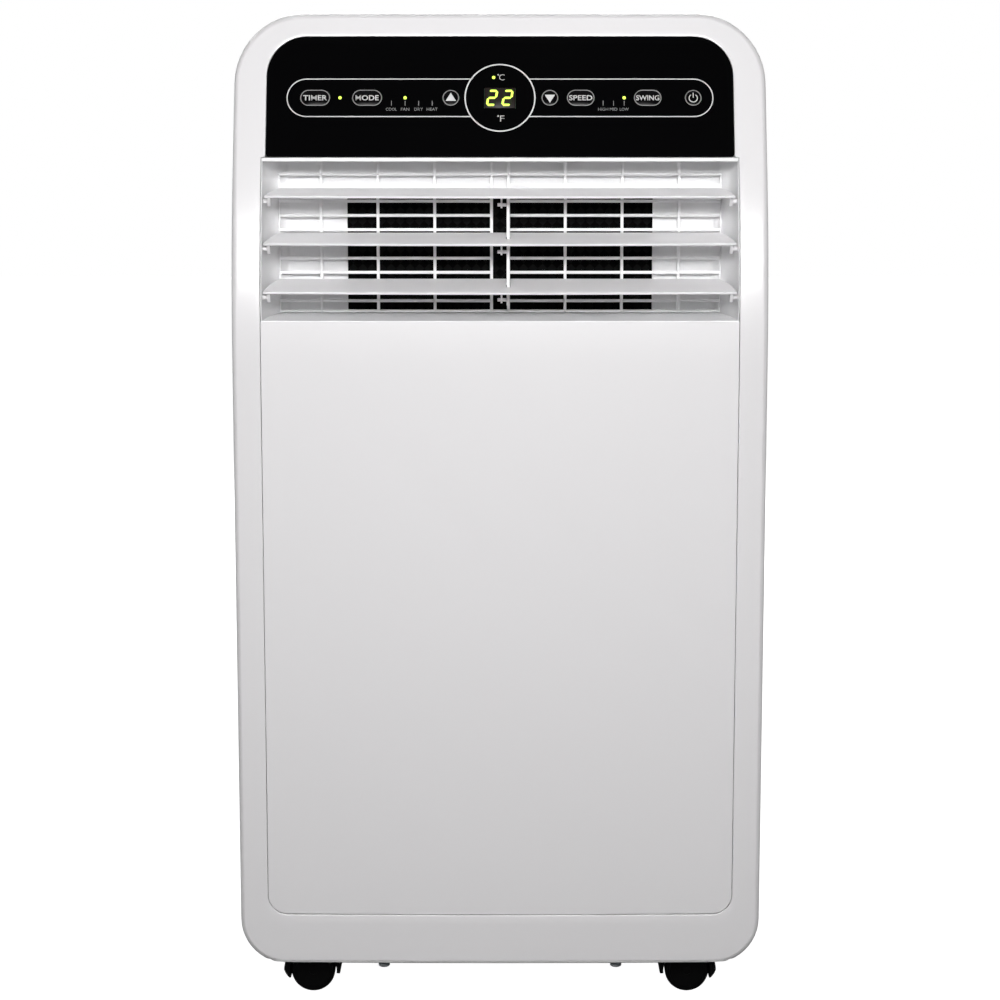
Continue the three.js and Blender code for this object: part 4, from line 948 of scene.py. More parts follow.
def control_overlay():
    """The glossy black overlay, following the crown of the front, with a hole for each key and the display."""
    low, high = OVERLAY[0][2], OVERLAY[1][2]
    half, radius = OVERLAY[1][0], 27.1 * MM

    def half_at(z):
        return min(corner_half(half, high, radius, z), corner_half(half, low, 2 * MM, z))
    rows = panel_rows(half_at, low, high, 26, sink=0.4 * MM / math.cos(LEAN),
                      extra=corner_heights(high, radius, -1, 14) + corner_heights(low, 2 * MM, 1, 4))
    obj = piece("control_overlay", sheet_solid(rows, 2.8 * MM), finish=FINISHES["black_gloss"],
                replaces=["control_panel"], smooth=30)
    cutters = [loose(slope_solid(pill(x * MM, KEY_ROW, long * MM, key_tall(long)), -9 * MM, 6 * MM))
               for x, long in KEYS.values()]
    cutters.append(loose(slope_block((11 * MM, 7.7 * MM), -9 * MM, 6 * MM)))
    carve(obj, cutters)
    smooth_faces(obj, 30)
    bevelled(obj, 0.35 * MM, 2)


def key_tall(long):
    """Height of a key's outline."""
    return KEY_TALL if long else ROUND_KEY


def slope_ring(points, lift):
    """An outline on the slope at a height above it."""
    return [on_slope(u, v, lift) for u, v in points]


def slope_solid(points, low, high):
    """A solid standing on the slope between two heights above it."""
    return ring_solid([slope_ring(points, low), slope_ring(points, high)])


def slope_block(half, low, high):
    """A block on the slope about the middle of the key row."""
    a, b = half
    v = KEY_ROW
    return slope_solid([(-a, v - b), (a, v - b), (a, v + b), (-a, v + b)], low, high)


def pill(u, v, long, tall, steps=12):
    """A capsule outline, or a circle where it has no length."""
    radius = tall / 2
    reach = max(0.0, long / 2 - radius)
    points = []
    for start, side in ((-90, 1), (90, -1)):
        for i in range(steps + 1):
            a = math.radians(start + 180 * i / steps)
            points.append((u + side * reach + radius * math.cos(a), v + radius * math.sin(a)))
    return points if reach > 0 else points[:steps + 1] + points[steps + 2:-1]


def key_caps():
    """A low glossy cap for each key, with an eased edge, on the key's own body; a round one has a stem."""
    for name, (x, long) in KEYS.items():
        u, span = x * MM, long * MM
        tall = key_tall(long) - 0.6 * MM
        stem = () if long else (6.6 * MM, 2.8 * MM)
        rings = [slope_ring(pill(u, KEY_ROW, 0, 4 * MM), LIFT - deep) for deep in stem]
        for shrink, lift in ((0, LIFT - 2.8 * MM), (0, LIFT - 0.3 * MM), (0.12 * MM, LIFT - 0.08 * MM),
                             (0.35 * MM, LIFT)):
            rings.append(slope_ring(pill(u, KEY_ROW, max(0.0, span - 0.6 * MM - 2 * shrink), tall - 2 * shrink), lift))
        piece(name + "_cap", ring_solid(rings), body=name, finish=FINISHES["black_gloss"],
              replaces=[name], smooth=30)


PRINT = 0.12 * MM               # thickness of the printed lines over the face
SUNK = 0.05 * MM                # how far they reach into it


def stroke(points, width, closed=True):
    """A flat line of constant width along (u, v) points, as an inner and an outer outline."""
    count = len(points)
    left, right = [], []
    for i, (u, v) in enumerate(points):
        before = points[i - 1] if closed or i else points[i]
        after = points[(i + 1) % count] if closed or i < count - 1 else points[i]
        run = Vector((after[0] - before[0], after[1] - before[1])).normalized()
        left.append((u - run.y * width / 2, v + run.x * width / 2))
        right.append((u + run.y * width / 2, v - run.x * width / 2))
    return left, right


def line_solid(bm, points, width, closed=True):
    """Adds a raised printed line along (u, v) points."""
    left, right = stroke(points, width, closed)
    low, high = LIFT - SUNK, LIFT + PRINT
    rings = [[on_slope(*left[i], low), on_slope(*right[i], low), on_slope(*right[i], high), on_slope(*left[i], high)]
             for i in range(len(points))]
    part = bmesh.new()
    extrude_rings(part, rings + rings[:1] if closed else rings)
    bmesh.ops.remove_doubles(part, verts=part.verts, dist=1e-7)
    if not closed:
        fill_holes(part)
    tidy(part, 1e-8)
    absorb(bm, part)


def patch_solid(bm, points, lift=LIFT, rise=PRINT):
    """Adds a raised flat shape with a (u, v) outline."""
    absorb(bm, slope_solid(points, lift - SUNK, lift + rise))


def absorb(bm, part):
    """Moves one bmesh into another."""
    mesh = bpy.data.meshes.new("part")
    part.to_mesh(mesh)
    part.free()
    bm.from_mesh(mesh)
    bpy.data.meshes.remove(mesh)


def arc_points(u, v, radius, start, end, steps):
    """Points along an arc, between two angles in degrees."""
    return [(u + radius * math.cos(math.radians(start + (end - start) * i / steps)),
             v + radius * math.sin(math.radians(start + (end - start) * i / steps))) for i in range(steps + 1)]


def word(bm, text, u, v, tall, wide, weight=0.0):
    """Adds a generic function word as raised print, fitted to a height and width about a place on the slope."""
    curve = bpy.data.curves.new("word", "FONT")
    curve.body = text
    curve.offset = weight
    curve.resolution_u = 3
    holder = bpy.data.objects.new("word", curve)
    bpy.context.scene.collection.objects.link(holder)
    graph = bpy.context.evaluated_depsgraph_get()
    graph.update()
    mesh = bpy.data.meshes.new_from_object(holder.evaluated_get(graph), depsgraph=graph)
    part = bmesh.new()
    part.from_mesh(mesh)
    bpy.data.objects.remove(holder)
    bpy.data.curves.remove(curve)
    bpy.data.meshes.remove(mesh)
    bmesh.ops.remove_doubles(part, verts=part.verts, dist=1e-5)
    low = [min(vert.co[i] for vert in part.verts) for i in (0, 1)]
    size = [max(vert.co[i] for vert in part.verts) - low[i] for i in (0, 1)]
    scale = wide / size[0], tall / size[1]
    made = bmesh.ops.extrude_face_region(part, geom=part.faces[:])["geom"]
    top = {item for item in made if isinstance(item, bmesh.types.BMVert)}
    for vert in part.verts:
        across = u + (vert.co.x - low[0] - size[0] / 2) * scale[0]
        up = v + (vert.co.y - low[1] - size[1] / 2) * scale[1]
        vert.co = on_slope(across, up, LIFT + (PRINT if vert in top else -SUNK))
    bmesh.ops.recalc_face_normals(part, faces=part.faces)
    absorb(bm, part)


TICKS = {"COOL": (-75.3, 7.5), "FAN": (-65.8, 5.8), "DRY": (-56.4, 6.1), "HEAT": (-47.0, 7.6),
         "HIGH": (71.5, 7.0), "MID": (78.7, 5.2), "LOW": (86.1, 6.2)}
LAMPS = {"timer_lamp": (-111.0, 0.0), "fan_lamp": (-65.8, 0.0), "low_lamp": (86.1, 0.0), "celsius_lamp": (-4.4, 14.8)}
CIRCLE = 24.2 * MM
CAPSULE_LONG, CAPSULE_TALL = 295.6 * MM, 27.3 * MM


def panel_print():
    """Printed capsule, dial circle, ticks and plain function words on the overlay."""
    bm, dim = bmesh.new(), bmesh.new()
    half = CAPSULE_TALL / 2
    cut = math.sqrt(CIRCLE ** 2 - half ** 2)
    reach = CAPSULE_LONG / 2 - half
    for side in (-1, 1):
        top = [(side * (cut + (reach - cut) * i / 24), KEY_ROW + half) for i in range(24)]
        turn = arc_points(0, KEY_ROW, half, 90, -90, 24)
        turn = [(side * (reach + u), v) for u, v in turn]
        low = [(side * (reach + (cut - reach) * i / 24), KEY_ROW - half) for i in range(1, 25)]
        line_solid(bm, top + turn + low, 0.72 * MM, closed=False)
    line_solid(bm, arc_points(0, KEY_ROW, CIRCLE, 0, 360, 96)[:-1], 0.95 * MM)
    for text, (x, wide) in TICKS.items():
        u = x * MM
        line_solid(dim, [(u, KEY_ROW - 2.2 * MM), (u, KEY_ROW - 5.7 * MM)], 0.45 * MM, closed=False)
        word(dim, text, u, KEY_ROW - 8.3 * MM, 2.1 * MM, wide * MM)
    for text, u, v, wide in (("C", 1.3, 14.9, 3.9), ("F", 1.6, -15.1, 3.1)):
        word(bm, text, u * MM, KEY_ROW + v * MM, 4.3 * MM, wide * MM, -0.01)
        line_solid(bm, arc_points(-1.3 * MM, KEY_ROW + (v + 1.8) * MM, 0.45 * MM, 0, 360, 12)[:-1], 0.3 * MM)
    piece("panel_print", bm, finish=FINISHES["print_grey"], smooth=0)
    piece("tick_print", dim, finish=FINISHES["print_dim"], smooth=0)
    for name, (x, up) in LAMPS.items():
        part = slope_solid(arc_points(x * MM, KEY_ROW + up * MM, 1.1 * MM, 0, 345, 23), LIFT - SUNK, LIFT + PRINT)
        piece(name, part, finish=FINISHES["segment_lit"], smooth=30)


def key_print():
    """Printed outline and word or sign on each key, carried by the key."""
    words = {"key_timer": ("TIMER", 16.8), "key_mode": ("MODE", 16.2), "key_speed": ("SPEED", 16.2),
             "key_swing": ("SWING", 16.2)}
    for name, (x, long) in KEYS.items():
        bm = bmesh.new()
        u = x * MM
        tall = key_tall(long) - 1.4 * MM
        line_solid(bm, pill(u, KEY_ROW, max(0.0, long * MM - 1.4 * MM), tall, 16), 0.6 * MM)
        piece(name + "_rim", bm, body=name, finish=FINISHES["print_dim"], smooth=0)
        bm = bmesh.new()
        if name in words:
            text, wide = words[name]
            word(bm, text, u, KEY_ROW, 3.8 * MM, wide * MM, 0.018)
        elif name == "key_power":
            line_solid(bm, arc_points(u, KEY_ROW - 0.2 * MM, 2.85 * MM, 125, 415, 40), 0.6 * MM, closed=False)
            line_solid(bm, [(u, KEY_ROW + 3.6 * MM), (u, KEY_ROW + 0.1 * MM)], 0.6 * MM, closed=False)
        else:
            way = 1 if name == "key_up" else -1
            base, apex = KEY_ROW - way * 2.2 * MM, KEY_ROW + way * 3.6 * MM
            patch_solid(bm, [(u - 3.6 * MM, base), (u + 3.6 * MM, base), (u, apex)])
        piece(name + "_print", bm, body=name, finish=FINISHES["print_grey"], smooth=0)


def display_unit():
    """The display window with its two slanted seven-segment figures."""
    glass = slope_block((10.7 * MM, 7.4 * MM), LIFT - 2.8 * MM, LIFT - 0.1 * MM)
    round_edges(glass, 0.25 * MM)
    piece("display_pane", glass, finish=FINISHES["display_back"], replaces=["display_window"], smooth=30)
    wide, tall, bold, slant, gap = 5.4 * MM, 10.2 * MM, 1.5 * MM, 0.17, 0.15 * MM
    a, b = wide / 2, tall / 2
    level = {"top": b, "middle": 0.0, "bottom": -b}
    lit, dark = bmesh.new(), bmesh.new()
    shown = {"top", "upper_right", "middle", "lower_left", "bottom"}

    def flat(cu, v):
        reach = a - gap
        return [(cu - reach, v), (cu - reach + bold / 2, v + bold / 2), (cu + reach - bold / 2, v + bold / 2),
                (cu + reach, v), (cu + reach - bold / 2, v - bold / 2), (cu - reach + bold / 2, v - bold / 2)]

    def upright(cu, v0, v1):
        v0, v1 = v0 + gap, v1 - gap
        return [(cu, v0), (cu + bold / 2, v0 + bold / 2), (cu + bold / 2, v1 - bold / 2), (cu, v1),
                (cu - bold / 2, v1 - bold / 2), (cu - bold / 2, v0 + bold / 2)]
    for centre in (-5.5 * MM, 5.2 * MM):
        shapes = {name: flat(0, v) for name, v in level.items()}
        for side, x in (("left", -a), ("right", a)):
            shapes["upper_" + side] = upright(x, 0, b)
            shapes["lower_" + side] = upright(x, -b, 0)
        for name, points in shapes.items():
            place = [(centre + u + slant * v, KEY_ROW + v) for u, v in points]
            patch_solid(lit if name in shown else dark, place, lift=LIFT - 0.1 * MM, rise=0.08 * MM)
    piece("display_figures", lit, finish=FINISHES["segment_lit"], smooth=0)
    piece("display_figures_off", dark, finish=FINISHES["segment_dark"], smooth=0)


# ---------------------------------------------------------------- rear fittings

def exhaust_port():
    """The turned exhaust collar with its flange, and the barred finger guard inside it."""
    low, high = COLLAR
    cx, _, cz = middle_of(low, high)
    outer = (high[0] - low[0]) / 2 - 0.2 * MM
    tube, bore = outer - 9 * MM, outer - 13 * MM
    start, out = low[1], high[1]
    profile = [(bore, start), (tube - 1 * MM, start), (tube - 1 * MM, BACK + 0.4 * MM),
               (outer - 0.4 * MM, BACK + 0.4 * MM), (outer, BACK + 0.8 * MM), (outer, BACK + 2.6 * MM),
               (outer - 0.6 * MM, BACK + 3.2 * MM),
               (tube + 1.2 * MM, BACK + 3.2 * MM), (tube, BACK + 4.2 * MM), (tube, out - 5 * MM),
               (tube + 0.5 * MM, out - 4.4 * MM), (tube + 0.5 * MM, out - 3.2 * MM), (tube - 0.6 * MM, out - 0.8 * MM),
               (tube - 1.2 * MM, out), (bore + 0.8 * MM, out), (bore, out - 0.8 * MM), (bore, start)]
    piece("exhaust_port", spun(profile, "y", (cx, 0, cz), steps=128), finish=FINISHES["satin_white"],
          replaces=["exhaust_collar"], smooth=35)
    g_low, g_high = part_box("exhaust_guard")
    radius = (g_high[0] - g_low[0]) / 2
    bm = spun([(radius - 3 * MM, g_low[1]), (radius, g_low[1]), (radius, g_high[1]), (radius - 3 * MM, g_high[1]),
               (radius - 3 * MM, g_low[1])], "y", (cx, 0, cz), steps=96)
    for i in range(-5, 6):
        z = cz + i * 10 * MM
        half = math.sqrt((radius - 1 * MM) ** 2 - (z - cz) ** 2)
        bar(bm, (cx - half, g_low[1], z - 1 * MM), (cx + half, g_high[1], z + 1 * MM))
    bar(bm, (cx - 1.2 * MM, g_low[1] + 0.4 * MM, cz - radius + 1 * MM),
        (cx + 1.2 * MM, g_high[1] - 0.4 * MM, cz + radius - 1 * MM))
    round_edges(bm, 0.4 * MM, 2)
    piece("exhaust_grid", bm, finish=FINISHES["satin_white"], replaces=["exhaust_guard"], smooth=35)


def louvred_filter(name, node):
    """A filter door: rounded rim, tilted louvres in two bays and fine mesh behind."""
    low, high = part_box(node)
    face, deep = high[1], 13 * MM
    radius, rim = 7.4 * MM, 9 * MM
    span = [low[0], high[0], low[2], high[2]]

    def outline(inset, y):
        x0, x1, z0, z1 = span[0] + inset, span[1] - inset, span[2] + inset, span[3] - inset
        r = max(radius - inset, 1.5 * MM)
        points = []
        for cx, cz, start in ((x1 - r, z0 + r, -90), (x1 - r, z1 - r, 0), (x0 + r, z1 - r, 90), (x0 + r, z0 + r, 180)):
            points += [Vector((cx + r * math.cos(math.radians(start + 90 * i / 8)), y,
                               cz + r * math.sin(math.radians(start + 90 * i / 8)))) for i in range(9)]
        return points
    rings = [outline(0, face - deep), outline(0, face - 0.6 * MM), outline(0.6 * MM, face),
             outline(rim - 0.6 * MM, face), outline(rim, face - 0.6 * MM), outline(rim, face - deep)]
    bm = ring_solid(rings, closed=True)
    mid = (span[0] + span[1]) / 2
    z0, z1 = span[2] + rim - 1 * MM, span[3] - rim + 1 * MM
    bar(bm, (mid - 4 * MM, face - 10 * MM, z0), (mid + 4 * MM, face - 0.4 * MM, z1))
    count = round((z1 - z0) / (9 * MM))
    pitch = (z1 - z0) / count
    tilt = math.radians(32)
    for i in range(count):
        z = z0 + pitch * (i + 0.5)
        verts = bar(bm, (span[0] + rim - 1 * MM, -4.2 * MM, -0.9 * MM), (span[1] - rim + 1 * MM, 4.2 * MM, 0.9 * MM))
        bmesh.ops.rotate(bm, verts=verts, cent=(0, 0, 0), matrix=Matrix.Rotation(tilt, 3, "X"))
        bmesh.ops.translate(bm, verts=verts, vec=(0, face - 5.2 * MM, z))
    piece(name, bm, body=node, finish=FINISHES["satin_white"], replaces=[node], smooth=35)
    mesh = bmesh.new()
    bar(mesh, (span[0] + rim - 2 * MM, face - 12.4 * MM, z0 - 1 * MM),
        (span[1] - rim + 2 * MM, face - 11.2 * MM, z1 + 1 * MM))
    rib_pitch = 32 * MM
    for i in range(1, int((span[1] - span[0]) / rib_pitch)):
        x = span[0] + rim + i * rib_pitch
        if x < span[1] - rim:
            bar(mesh, (x - 0.5 * MM, face - 11.3 * MM, z0), (x + 0.5 * MM, face - 10.6 * MM, z1))
    piece(name + "_mesh", mesh, body=node, finish=FINISHES["dust_mesh"], smooth=0)


def drain_bung(name, node):
    """A rubber bung with a domed head."""
    low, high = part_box(node)
    cx, _, cz = middle_of(low, high)
    radius = (high[0] - low[0]) / 2 - 0.2 * MM
    out = high[1]
    bm = spun([(0, low[1]), (4.6 * MM, low[1]), (radius - 3.6 * MM, BACK - 5 * MM),
               (radius - 3.6 * MM, BACK + 0.4 * MM), (radius - 0.3 * MM, BACK + 0.4 * MM),
               (radius, BACK + 0.9 * MM), (radius, BACK + 2.4 * MM),
               (radius - 0.8 * MM, BACK + 3.1 * MM), (radius - 3 * MM, BACK + 3.4 * MM),
               (radius - 4 * MM, out - 0.5 * MM),
               (radius - 5 * MM, out), (2 * MM, out), (1.4 * MM, out - 1.2 * MM), (0, out - 1.2 * MM)],
              "y", (cx, 0, cz), steps=48)
    piece(name, bm, body=node, finish=FINISHES["rubber"], replaces=[node], smooth=35)


def cord_outlet():
    """The ribbed gland through which a mains cord would leave."""
    low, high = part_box("cord_gland")
    cx, _, cz = middle_of(low, high)
    radius, start, out, bore = (high[0] - low[0]) / 2 - 0.2 * MM, low[1], high[1], 4.05 * MM
    profile = [(bore, start), (radius - 3.7 * MM, start), (radius - 3.7 * MM, BACK + 0.4 * MM),
               (radius - 0.4 * MM, BACK + 0.4 * MM), (radius, BACK + 0.9 * MM), (radius, BACK + 2.2 * MM),
               (radius - 0.6 * MM, BACK + 2.6 * MM)]
    ribs = 3
    for i in range(ribs):
        y = BACK + 2.6 * MM + (out - BACK - 3.4 * MM) * i / ribs
        step = (out - BACK - 3.4 * MM) / ribs
        r = radius - 3.4 * MM - 0.8 * MM * i
        profile += [(r, y + 0.1 * MM), (r, y + step * 0.55), (r - 0.7 * MM, y + step * 0.6), (r - 0.7 * MM, y + step)]
    profile += [(bore + 0.8 * MM, out), (bore, out - 0.4 * MM), (bore, start)]
    bm = spun(profile, "y", (cx, 0, cz), steps=48)
    piece("cord_outlet", bm, finish=FINISHES["black_plastic"], replaces=["cord_gland"], smooth=30)


def cross_screw(bm, centre, radius, axis):
    """A pan-head screw with a cross slot, its head outwards along an axis."""
    cup = spun([(0, -1.2 * MM), (radius * 0.55, -1.2 * MM), (radius, -0.9 * MM), (radius, -0.2 * MM),
                (radius * 0.8, 0.5 * MM), (radius * 0.4, 0.85 * MM), (0, 0.95 * MM)], "z", (0, 0, 0), steps=28)
    head = loose(cup)
    slots = []
    for a, b in ((radius * 0.55, 0.3 * MM), (0.3 * MM, radius * 0.55)):
        slot = bmesh.new()
        bar(slot, (-a, -b, 0.2 * MM), (a, b, 2 * MM))
        slots.append(loose(slot))
    carve(head, slots)
    part = bmesh.new()
    part.from_mesh(head.data)
    bpy.data.objects.remove(head)
    turn = {"y": -math.pi / 2, "-z": math.pi}[axis]
    bmesh.ops.rotate(part, verts=part.verts, cent=(0, 0, 0), matrix=Matrix.Rotation(turn, 3, "X"))
    bmesh.ops.translate(part, verts=part.verts, vec=centre)
    absorb(bm, part)


def screws():
    """Screws under the front edge and round the back."""
    bm = bmesh.new()
    for node in ("base_screw_left", "base_screw_right"):
        low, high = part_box(node)
        cross_screw(bm, ((low[0] + high[0]) / 2, low[1] - 3.4 * MM, low[2] + 1.2 * MM),
                    (high[0] - low[0]) / 2 - 0.2 * MM, "-z")
    piece("base_screws", bm, finish=FINISHES["steel"], replaces=["base_screw_left", "base_screw_right"],
          smooth=30)
    bm = bmesh.new()
    for x, z in ((-150, 655), (150, 655), (-150, 395), (150, 395), (-150, 62), (150, 62)):
        cross_screw(bm, (x * MM, BACK + 0.3 * MM, z * MM), 3.6 * MM, "y")
    piece("back_screws", bm, finish=FINISHES["steel"], smooth=30)


# ---------------------------------------------------------------- casters

def caster(tag):
    """A twin-wheel caster: hooded fork with its stem, and two tyred wheels on one axle."""
    fork, wheels = "caster_fork_" + tag, "caster_wheels_" + tag
    f_low, f_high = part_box(fork)
    w_low, w_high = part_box(wheels)
    radius = (w_high[2] - w_low[2]) / 2
    ax, ay, az = (w_low[0] + w_high[0]) / 2, (w_low[1] + w_high[1]) / 2, w_low[2] + radius
    out = 1 if tag[1] == "r" else -1
    stem_x = ax - out * 13.3 * MM
    breadth = (w_high[1] - w_low[1]) / 2
    inner = radius + 1.2 * MM
    tread = 11 * MM
    gap = breadth - tread
    rings = []
    for i in range(33):
        turn = -18 + 205 * i / 32
        a = math.radians(turn)
        hood = 2.6 * MM + 1.7 * MM * max(0.0, 1 - max(0.0, turn - 20) / 40) - 2.9 * MM * max(0.0, -turn / 18)
        ca, sa = out * math.cos(a), math.sin(a)
        edge = 0.8 * MM
        rows = [(inner, -breadth), (inner + hood - edge, -breadth), (inner + hood, edge - breadth),
                (inner + hood, breadth - edge), (inner + hood - edge, breadth), (inner, breadth)]
        rings.append([Vector((ax + r * ca, ay + y, az + r * sa)) for r, y in rows])
    bm = ring_solid(rings)
    fan = []
    for i in range(13):
        a = math.radians(-10 + 160 * i / 12)
        fan.append((ax + out * (inner + 0.5 * MM) * math.cos(a), az + (inner + 0.5 * MM) * math.sin(a)))
    fan += [(ax - out * 15 * MM, 12 * MM), (ax + out * 2 * MM, 10 * MM)]
    verts = [bm.verts.new((x, ay - 2 * MM, z)) for x, z in fan]
    plate = bm.faces.new(verts)
    made = bmesh.ops.extrude_face_region(bm, geom=[plate])["geom"]
    bmesh.ops.translate(bm, vec=(0, 4 * MM, 0), verts=[v for v in made if isinstance(v, bmesh.types.BMVert)])
    bmesh.ops.recalc_face_normals(bm, faces=bm.faces)
    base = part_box("base_tray")[0][2]
    for r, z0, z1 in ((7 * MM, az + 13 * MM, base + 13.4 * MM), (4 * MM, base + 6 * MM, f_high[2] - 2 * MM),
                      (6.5 * MM, f_high[2] - 2 * MM, f_high[2])):
        rod(bm, r, z1 - z0, (stem_x, ay, (z0 + z1) / 2), steps=32)
    piece("fork_" + tag, bm, body="caster_" + tag, finish=FINISHES["black_plastic"],
          replaces=[fork], smooth=35)
    bm = bmesh.new()
    for side in (-1, 1):
        rows = [(0, 0.25), (3, 0.25), (3.2, 0.45), (12.6, 0.45), (12.8, 0.05), (13.6, 0), (14.8, 0.35), (15.6, 1.2),
                (15.9, 2.4), (15.9, 8.6), (15.6, 9.8), (14.8, 10.65), (13.6, 11), (0, 11)]
        rows = [(r * radius / 15.9, tread - y * MM) for r, y in rows]
        wheel = spun([(r, side * (gap + y)) for r, y in rows], "y", (ax, ay, az), steps=56)
        absorb(bm, wheel)
    rod(bm, 2.5 * MM, 2 * gap + 2 * MM, (ax, ay, az), "X")
    piece("tyres_" + tag, bm, body="wheels_" + tag, finish=FINISHES["tread_black"],
          replaces=[wheels], smooth=35)


# ---------------------------------------------------------------- stage

def area_light(name, place, aim, size, power, spread=math.pi):
    """Adds a rectangular light aimed at a point."""
    data = bpy.data.lights.new(name, "AREA")
    data.shape = "RECTANGLE"
    data.spread = spread
    data.size, data.size_y = size
    data.energy = power
    lamp = bpy.data.objects.new(name, data)
    lamp.location = place
    lamp.rotation_euler = (Vector(aim) - Vector(place)).to_track_quat("-Z", "Y").to_euler()
    bpy.context.scene.collection.objects.link(lamp)


def make_stage():
    """The camera, the white room, the floor and the lights."""
    look = bpy.context.scene.cooler_stage
    scene = bpy.context.scene
    data = bpy.data.cameras.new("camera")
    data.lens = look.lens
    data.sensor_width = 36
    data.clip_end = 50
    camera = bpy.data.objects.new("camera", data)
    camera.location = (0, FRONT - look.distance, look.eye)
    camera.rotation_euler = (math.pi / 2 - look.pitch, 0, 0)
    scene.collection.objects.link(camera)
    scene.camera = camera
    world = bpy.data.worlds.new("white_room")
    world.use_nodes = True
    tree = world.node_tree
    room = tree.nodes["Background"]
    room.inputs["Color"].default_value = (1, 1, 1, 1)
    room.inputs["Strength"].default_value = look.world
    sweep = tree.nodes.new("ShaderNodeBackground")
    sweep.inputs["Color"].default_value = (1, 1, 1, 1)
    sweep.inputs["Strength"].default_value = 1.0
    seen = tree.nodes.new("ShaderNodeLightPath")
    either = tree.nodes.new("ShaderNodeMixShader")
    tree.links.new(seen.outputs["Is Camera Ray"], either.inputs[0])
    tree.links.new(room.outputs[0], either.inputs[1])
    tree.links.new(sweep.outputs[0], either.inputs[2])
    tree.links.new(either.outputs[0], tree.nodes["World Output"].inputs["Surface"])
    scene.world = world
    scene.view_settings.view_transform = "Standard"
    bm = bmesh.new()
    bmesh.ops.create_grid(bm, x_segments=2, y_segments=2, size=9)
    mesh = bpy.data.meshes.new("floor")
    bm.to_mesh(mesh)
    bm.free()
    floor = bpy.data.objects.new("floor", mesh)
    scene.collection.objects.link(floor)
    mesh.materials.append(floor_finish(look.floor))
    area_light("key", (0, -0.8, 1.9), (0, -0.17, 0.6), (1.6, 0.8), look.key)
    area_light("fill", (0, -2.3, 1.25), (0, -0.17, 0.56), (1.2, 0.6), look.fill, spread=math.radians(60))
    for side, name in ((-1, "left"), (1, "right")):
        area_light("side_" + name, (side * 1.7, -0.1, 0.8), (0, 0, 0.5), (0.9, 1.8), look.side)
    area_light("back_wash", (0, 2.4, 1.3), (0, 0, 0.4), (1.0, 1.6), look.back)


def floor_finish(dark):
    """A floor that looks as white as the room behind it but throws little light back up."""
    material = finish("floor_white", (0.3, 0.3, 0.3), 0.7, bump=0.01, drift=0.01, specular=0.0)
    tree = material.node_tree
    nodes, link = tree.nodes, tree.links.new
    seen = nodes.new("ShaderNodeLightPath")
    white = nodes.new("ShaderNodeEmission")
    white.inputs["Strength"].default_value = 1.0
    both = nodes.new("ShaderNodeAddShader")
    grey = nodes.new("ShaderNodeBsdfDiffuse")
    grey.inputs["Color"].default_value = (dark, dark, dark, 1)
    either = nodes.new("ShaderNodeMixShader")
    link(nodes["Principled BSDF"].outputs[0], both.inputs[0])
    link(white.outputs[0], both.inputs[1])
    link(seen.outputs["Is Camera Ray"], either.inputs[0])
    link(grey.outputs[0], either.inputs[1])
    link(both.outputs[0], either.inputs[2])
    link(either.outputs[0], nodes["Material Output"].inputs["Surface"])
    return material


# ---------------------------------------------------------------- sizes and colours that a user may change

class CoolerLook(bpy.types.PropertyGroup):
    """Colours of the mouldings, the print and the lit figures."""
    white: FloatVectorProperty(name="Front white", description="Colour of the glossy front mouldings",
                               subtype="COLOR", size=3, min=0, max=1, default=(0.815, 0.802, 0.813))
    # Vent white is lighter than the front white, so the vent recess and its grille carry painted light on top of their
    # own white.
    vent_white: FloatVectorProperty(name="Vent white", description="Colour of the vent recess and its slats",
                                    subtype="COLOR", size=3, min=0, max=1, default=(0.93, 0.928, 0.935))
    rear_white: FloatVectorProperty(name="Rear white", description="Colour of the satin rear housing",
                                    subtype="COLOR", size=3, min=0, max=1, default=(0.78, 0.78, 0.775))
    print_grey: FloatVectorProperty(name="Print", description="Colour of the printed lines and words",
                                    subtype="COLOR", size=3, min=0, max=1, default=(0.62, 0.62, 0.62))
    segment: FloatVectorProperty(name="Figures", description="Colour of the lit figures",
                                 subtype="COLOR", size=3, min=0, max=1, default=(0.7, 1.0, 0.1))
    glow: FloatProperty(name="Glow", description="Brightness of the lit figures and lamps", default=1.25, min=0)


class CoolerStage(bpy.types.PropertyGroup):
    """Camera place and light levels."""
    lens: FloatProperty(name="Lens", description="Focal length of the camera in millimetres", default=88.3, min=10)
    distance: FloatProperty(name="Distance", description="Camera to the front face", default=1.684, unit="LENGTH")
    eye: FloatProperty(name="Eye height", description="Height of the camera", default=0.619, unit="LENGTH")
    pitch: FloatProperty(name="Pitch", description="How far the camera looks down", default=math.radians(8.46),
                         unit="ROTATION", subtype="ANGLE")
    world: FloatProperty(name="Room", description="Brightness of the white room", default=0.06, min=0)
    floor: FloatProperty(name="Floor return", description="How much light the floor throws back", default=0.25, min=0)
    key: FloatProperty(name="Key light", description="Power of the soft light above the front", default=3.8, min=0)
    fill: FloatProperty(name="Fill light", description="Power of the light from the front", default=6.4, min=0)
    side: FloatProperty(name="Side lights", description="Power of each side light", default=1.8, min=0)
    back: FloatProperty(name="Back light", description="Power of the light behind", default=50.0, min=0)


# ---------------------------------------------------------------- operators

class COOLER_OT_stage(bpy.types.Operator):
    """Set up the camera, the white room, the floor and the lights"""
    bl_idname = "cooler.stage"
    bl_label = "Stage"

    def execute(self, context):
        make_stage()
        return {"FINISHED"}


class COOLER_OT_finishes(bpy.types.Operator):
    """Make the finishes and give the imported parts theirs"""
    bl_idname = "cooler.finishes"
    bl_label = "Finishes"

    def execute(self, context):
        make_finishes()
        dress_frame()
        return {"FINISHED"}


class COOLER_OT_front(bpy.types.Operator):
    """Model the front ring and the lower front panel"""
    bl_idname = "cooler.front"
    bl_label = "Front ring and panel"

    def execute(self, context):
        front_frame()
        lower_panel()
        return {"FINISHED"}


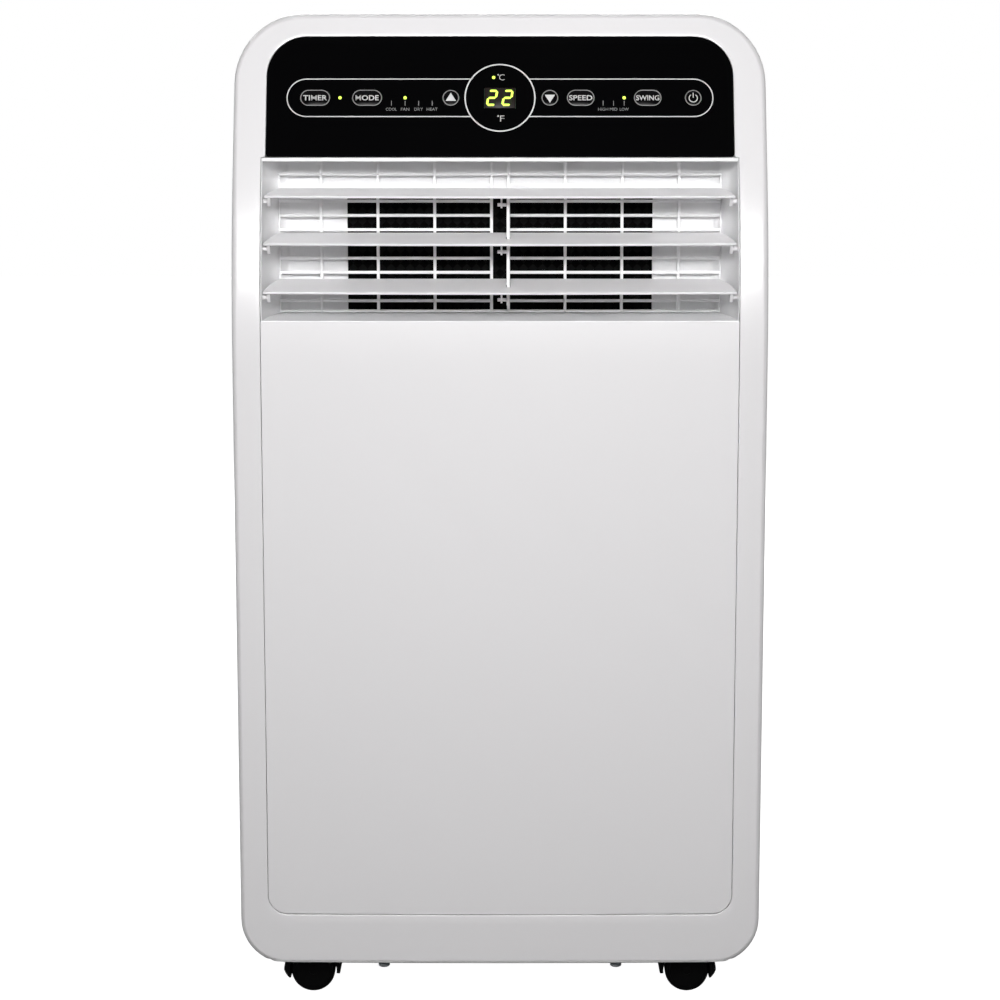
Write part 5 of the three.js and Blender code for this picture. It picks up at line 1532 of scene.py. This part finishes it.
class COOLER_OT_rear(bpy.types.Operator):
    """Model the rear housing with its openings and finger grips"""
    bl_idname = "cooler.rear"
    bl_label = "Rear housing"

    def execute(self, context):
        rear_housing()
        return {"FINISHED"}


class COOLER_OT_vent(bpy.types.Operator):
    """Model the vent recess, its grille, slats and link"""
    bl_idname = "cooler.vent"
    bl_label = "Vent"

    def execute(self, context):
        vent_recess()
        outlet_bars()
        for name, drop in SLATS.items():
            slat(name, drop)
        slat_link()
        return {"FINISHED"}


class COOLER_OT_controls(bpy.types.Operator):
    """Model the control overlay, keys, display and print"""
    bl_idname = "cooler.controls"
    bl_label = "Control panel"

    def execute(self, context):
        control_overlay()
        key_caps()
        display_unit()
        panel_print()
        key_print()
        return {"FINISHED"}


class COOLER_OT_rear_fittings(bpy.types.Operator):
    """Model the exhaust port, filters, drain bungs, cord outlet and screws"""
    bl_idname = "cooler.rear_fittings"
    bl_label = "Rear fittings"

    def execute(self, context):
        exhaust_port()
        louvred_filter("upper_filter_door", "upper_filter")
        louvred_filter("lower_filter_door", "lower_filter")
        drain_bung("upper_bung", "drain_plug_upper")
        drain_bung("lower_bung", "drain_plug_lower")
        cord_outlet()
        screws()
        return {"FINISHED"}


class COOLER_OT_casters(bpy.types.Operator):
    """Model the four twin-wheel casters"""
    bl_idname = "cooler.casters"
    bl_label = "Casters"

    def execute(self, context):
        for tag in ("fl", "fr", "rl", "rr"):
            caster(tag)
        return {"FINISHED"}


STEPS = (COOLER_OT_stage, COOLER_OT_finishes, COOLER_OT_front, COOLER_OT_rear, COOLER_OT_vent, COOLER_OT_controls,
         COOLER_OT_rear_fittings, COOLER_OT_casters)


class COOLER_PT_panel(bpy.types.Panel):
    """Sidebar panel that lists the settings and the building steps"""
    bl_idname = "COOLER_PT_panel"
    bl_label = "Portable Air Conditioner"
    bl_space_type = "VIEW_3D"
    bl_region_type = "UI"
    bl_category = "Cooler"

    def draw(self, context):
        layout = self.layout
        for settings in (context.scene.cooler_look, context.scene.cooler_stage):
            for name in settings.__annotations__:
                layout.prop(settings, name)
        for step in STEPS:
            layout.operator(step.bl_idname)


CLASSES = (CoolerLook, CoolerStage) + STEPS + (COOLER_PT_panel,)


def register():
    """Registers the settings, the steps and the panel."""
    for cls in CLASSES:
        bpy.utils.register_class(cls)
    bpy.types.Scene.cooler_look = PointerProperty(type=CoolerLook)
    bpy.types.Scene.cooler_stage = PointerProperty(type=CoolerStage)


def unregister():
    """Takes them away again."""
    del bpy.types.Scene.cooler_look
    del bpy.types.Scene.cooler_stage
    for cls in reversed(CLASSES):
        bpy.utils.unregister_class(cls)


def main():
    """Builds everything."""
    register()
    for step in STEPS:
        group, name = step.bl_idname.split(".")
        getattr(getattr(bpy.ops, group), name)()


if __name__ == "__main__":
    main()
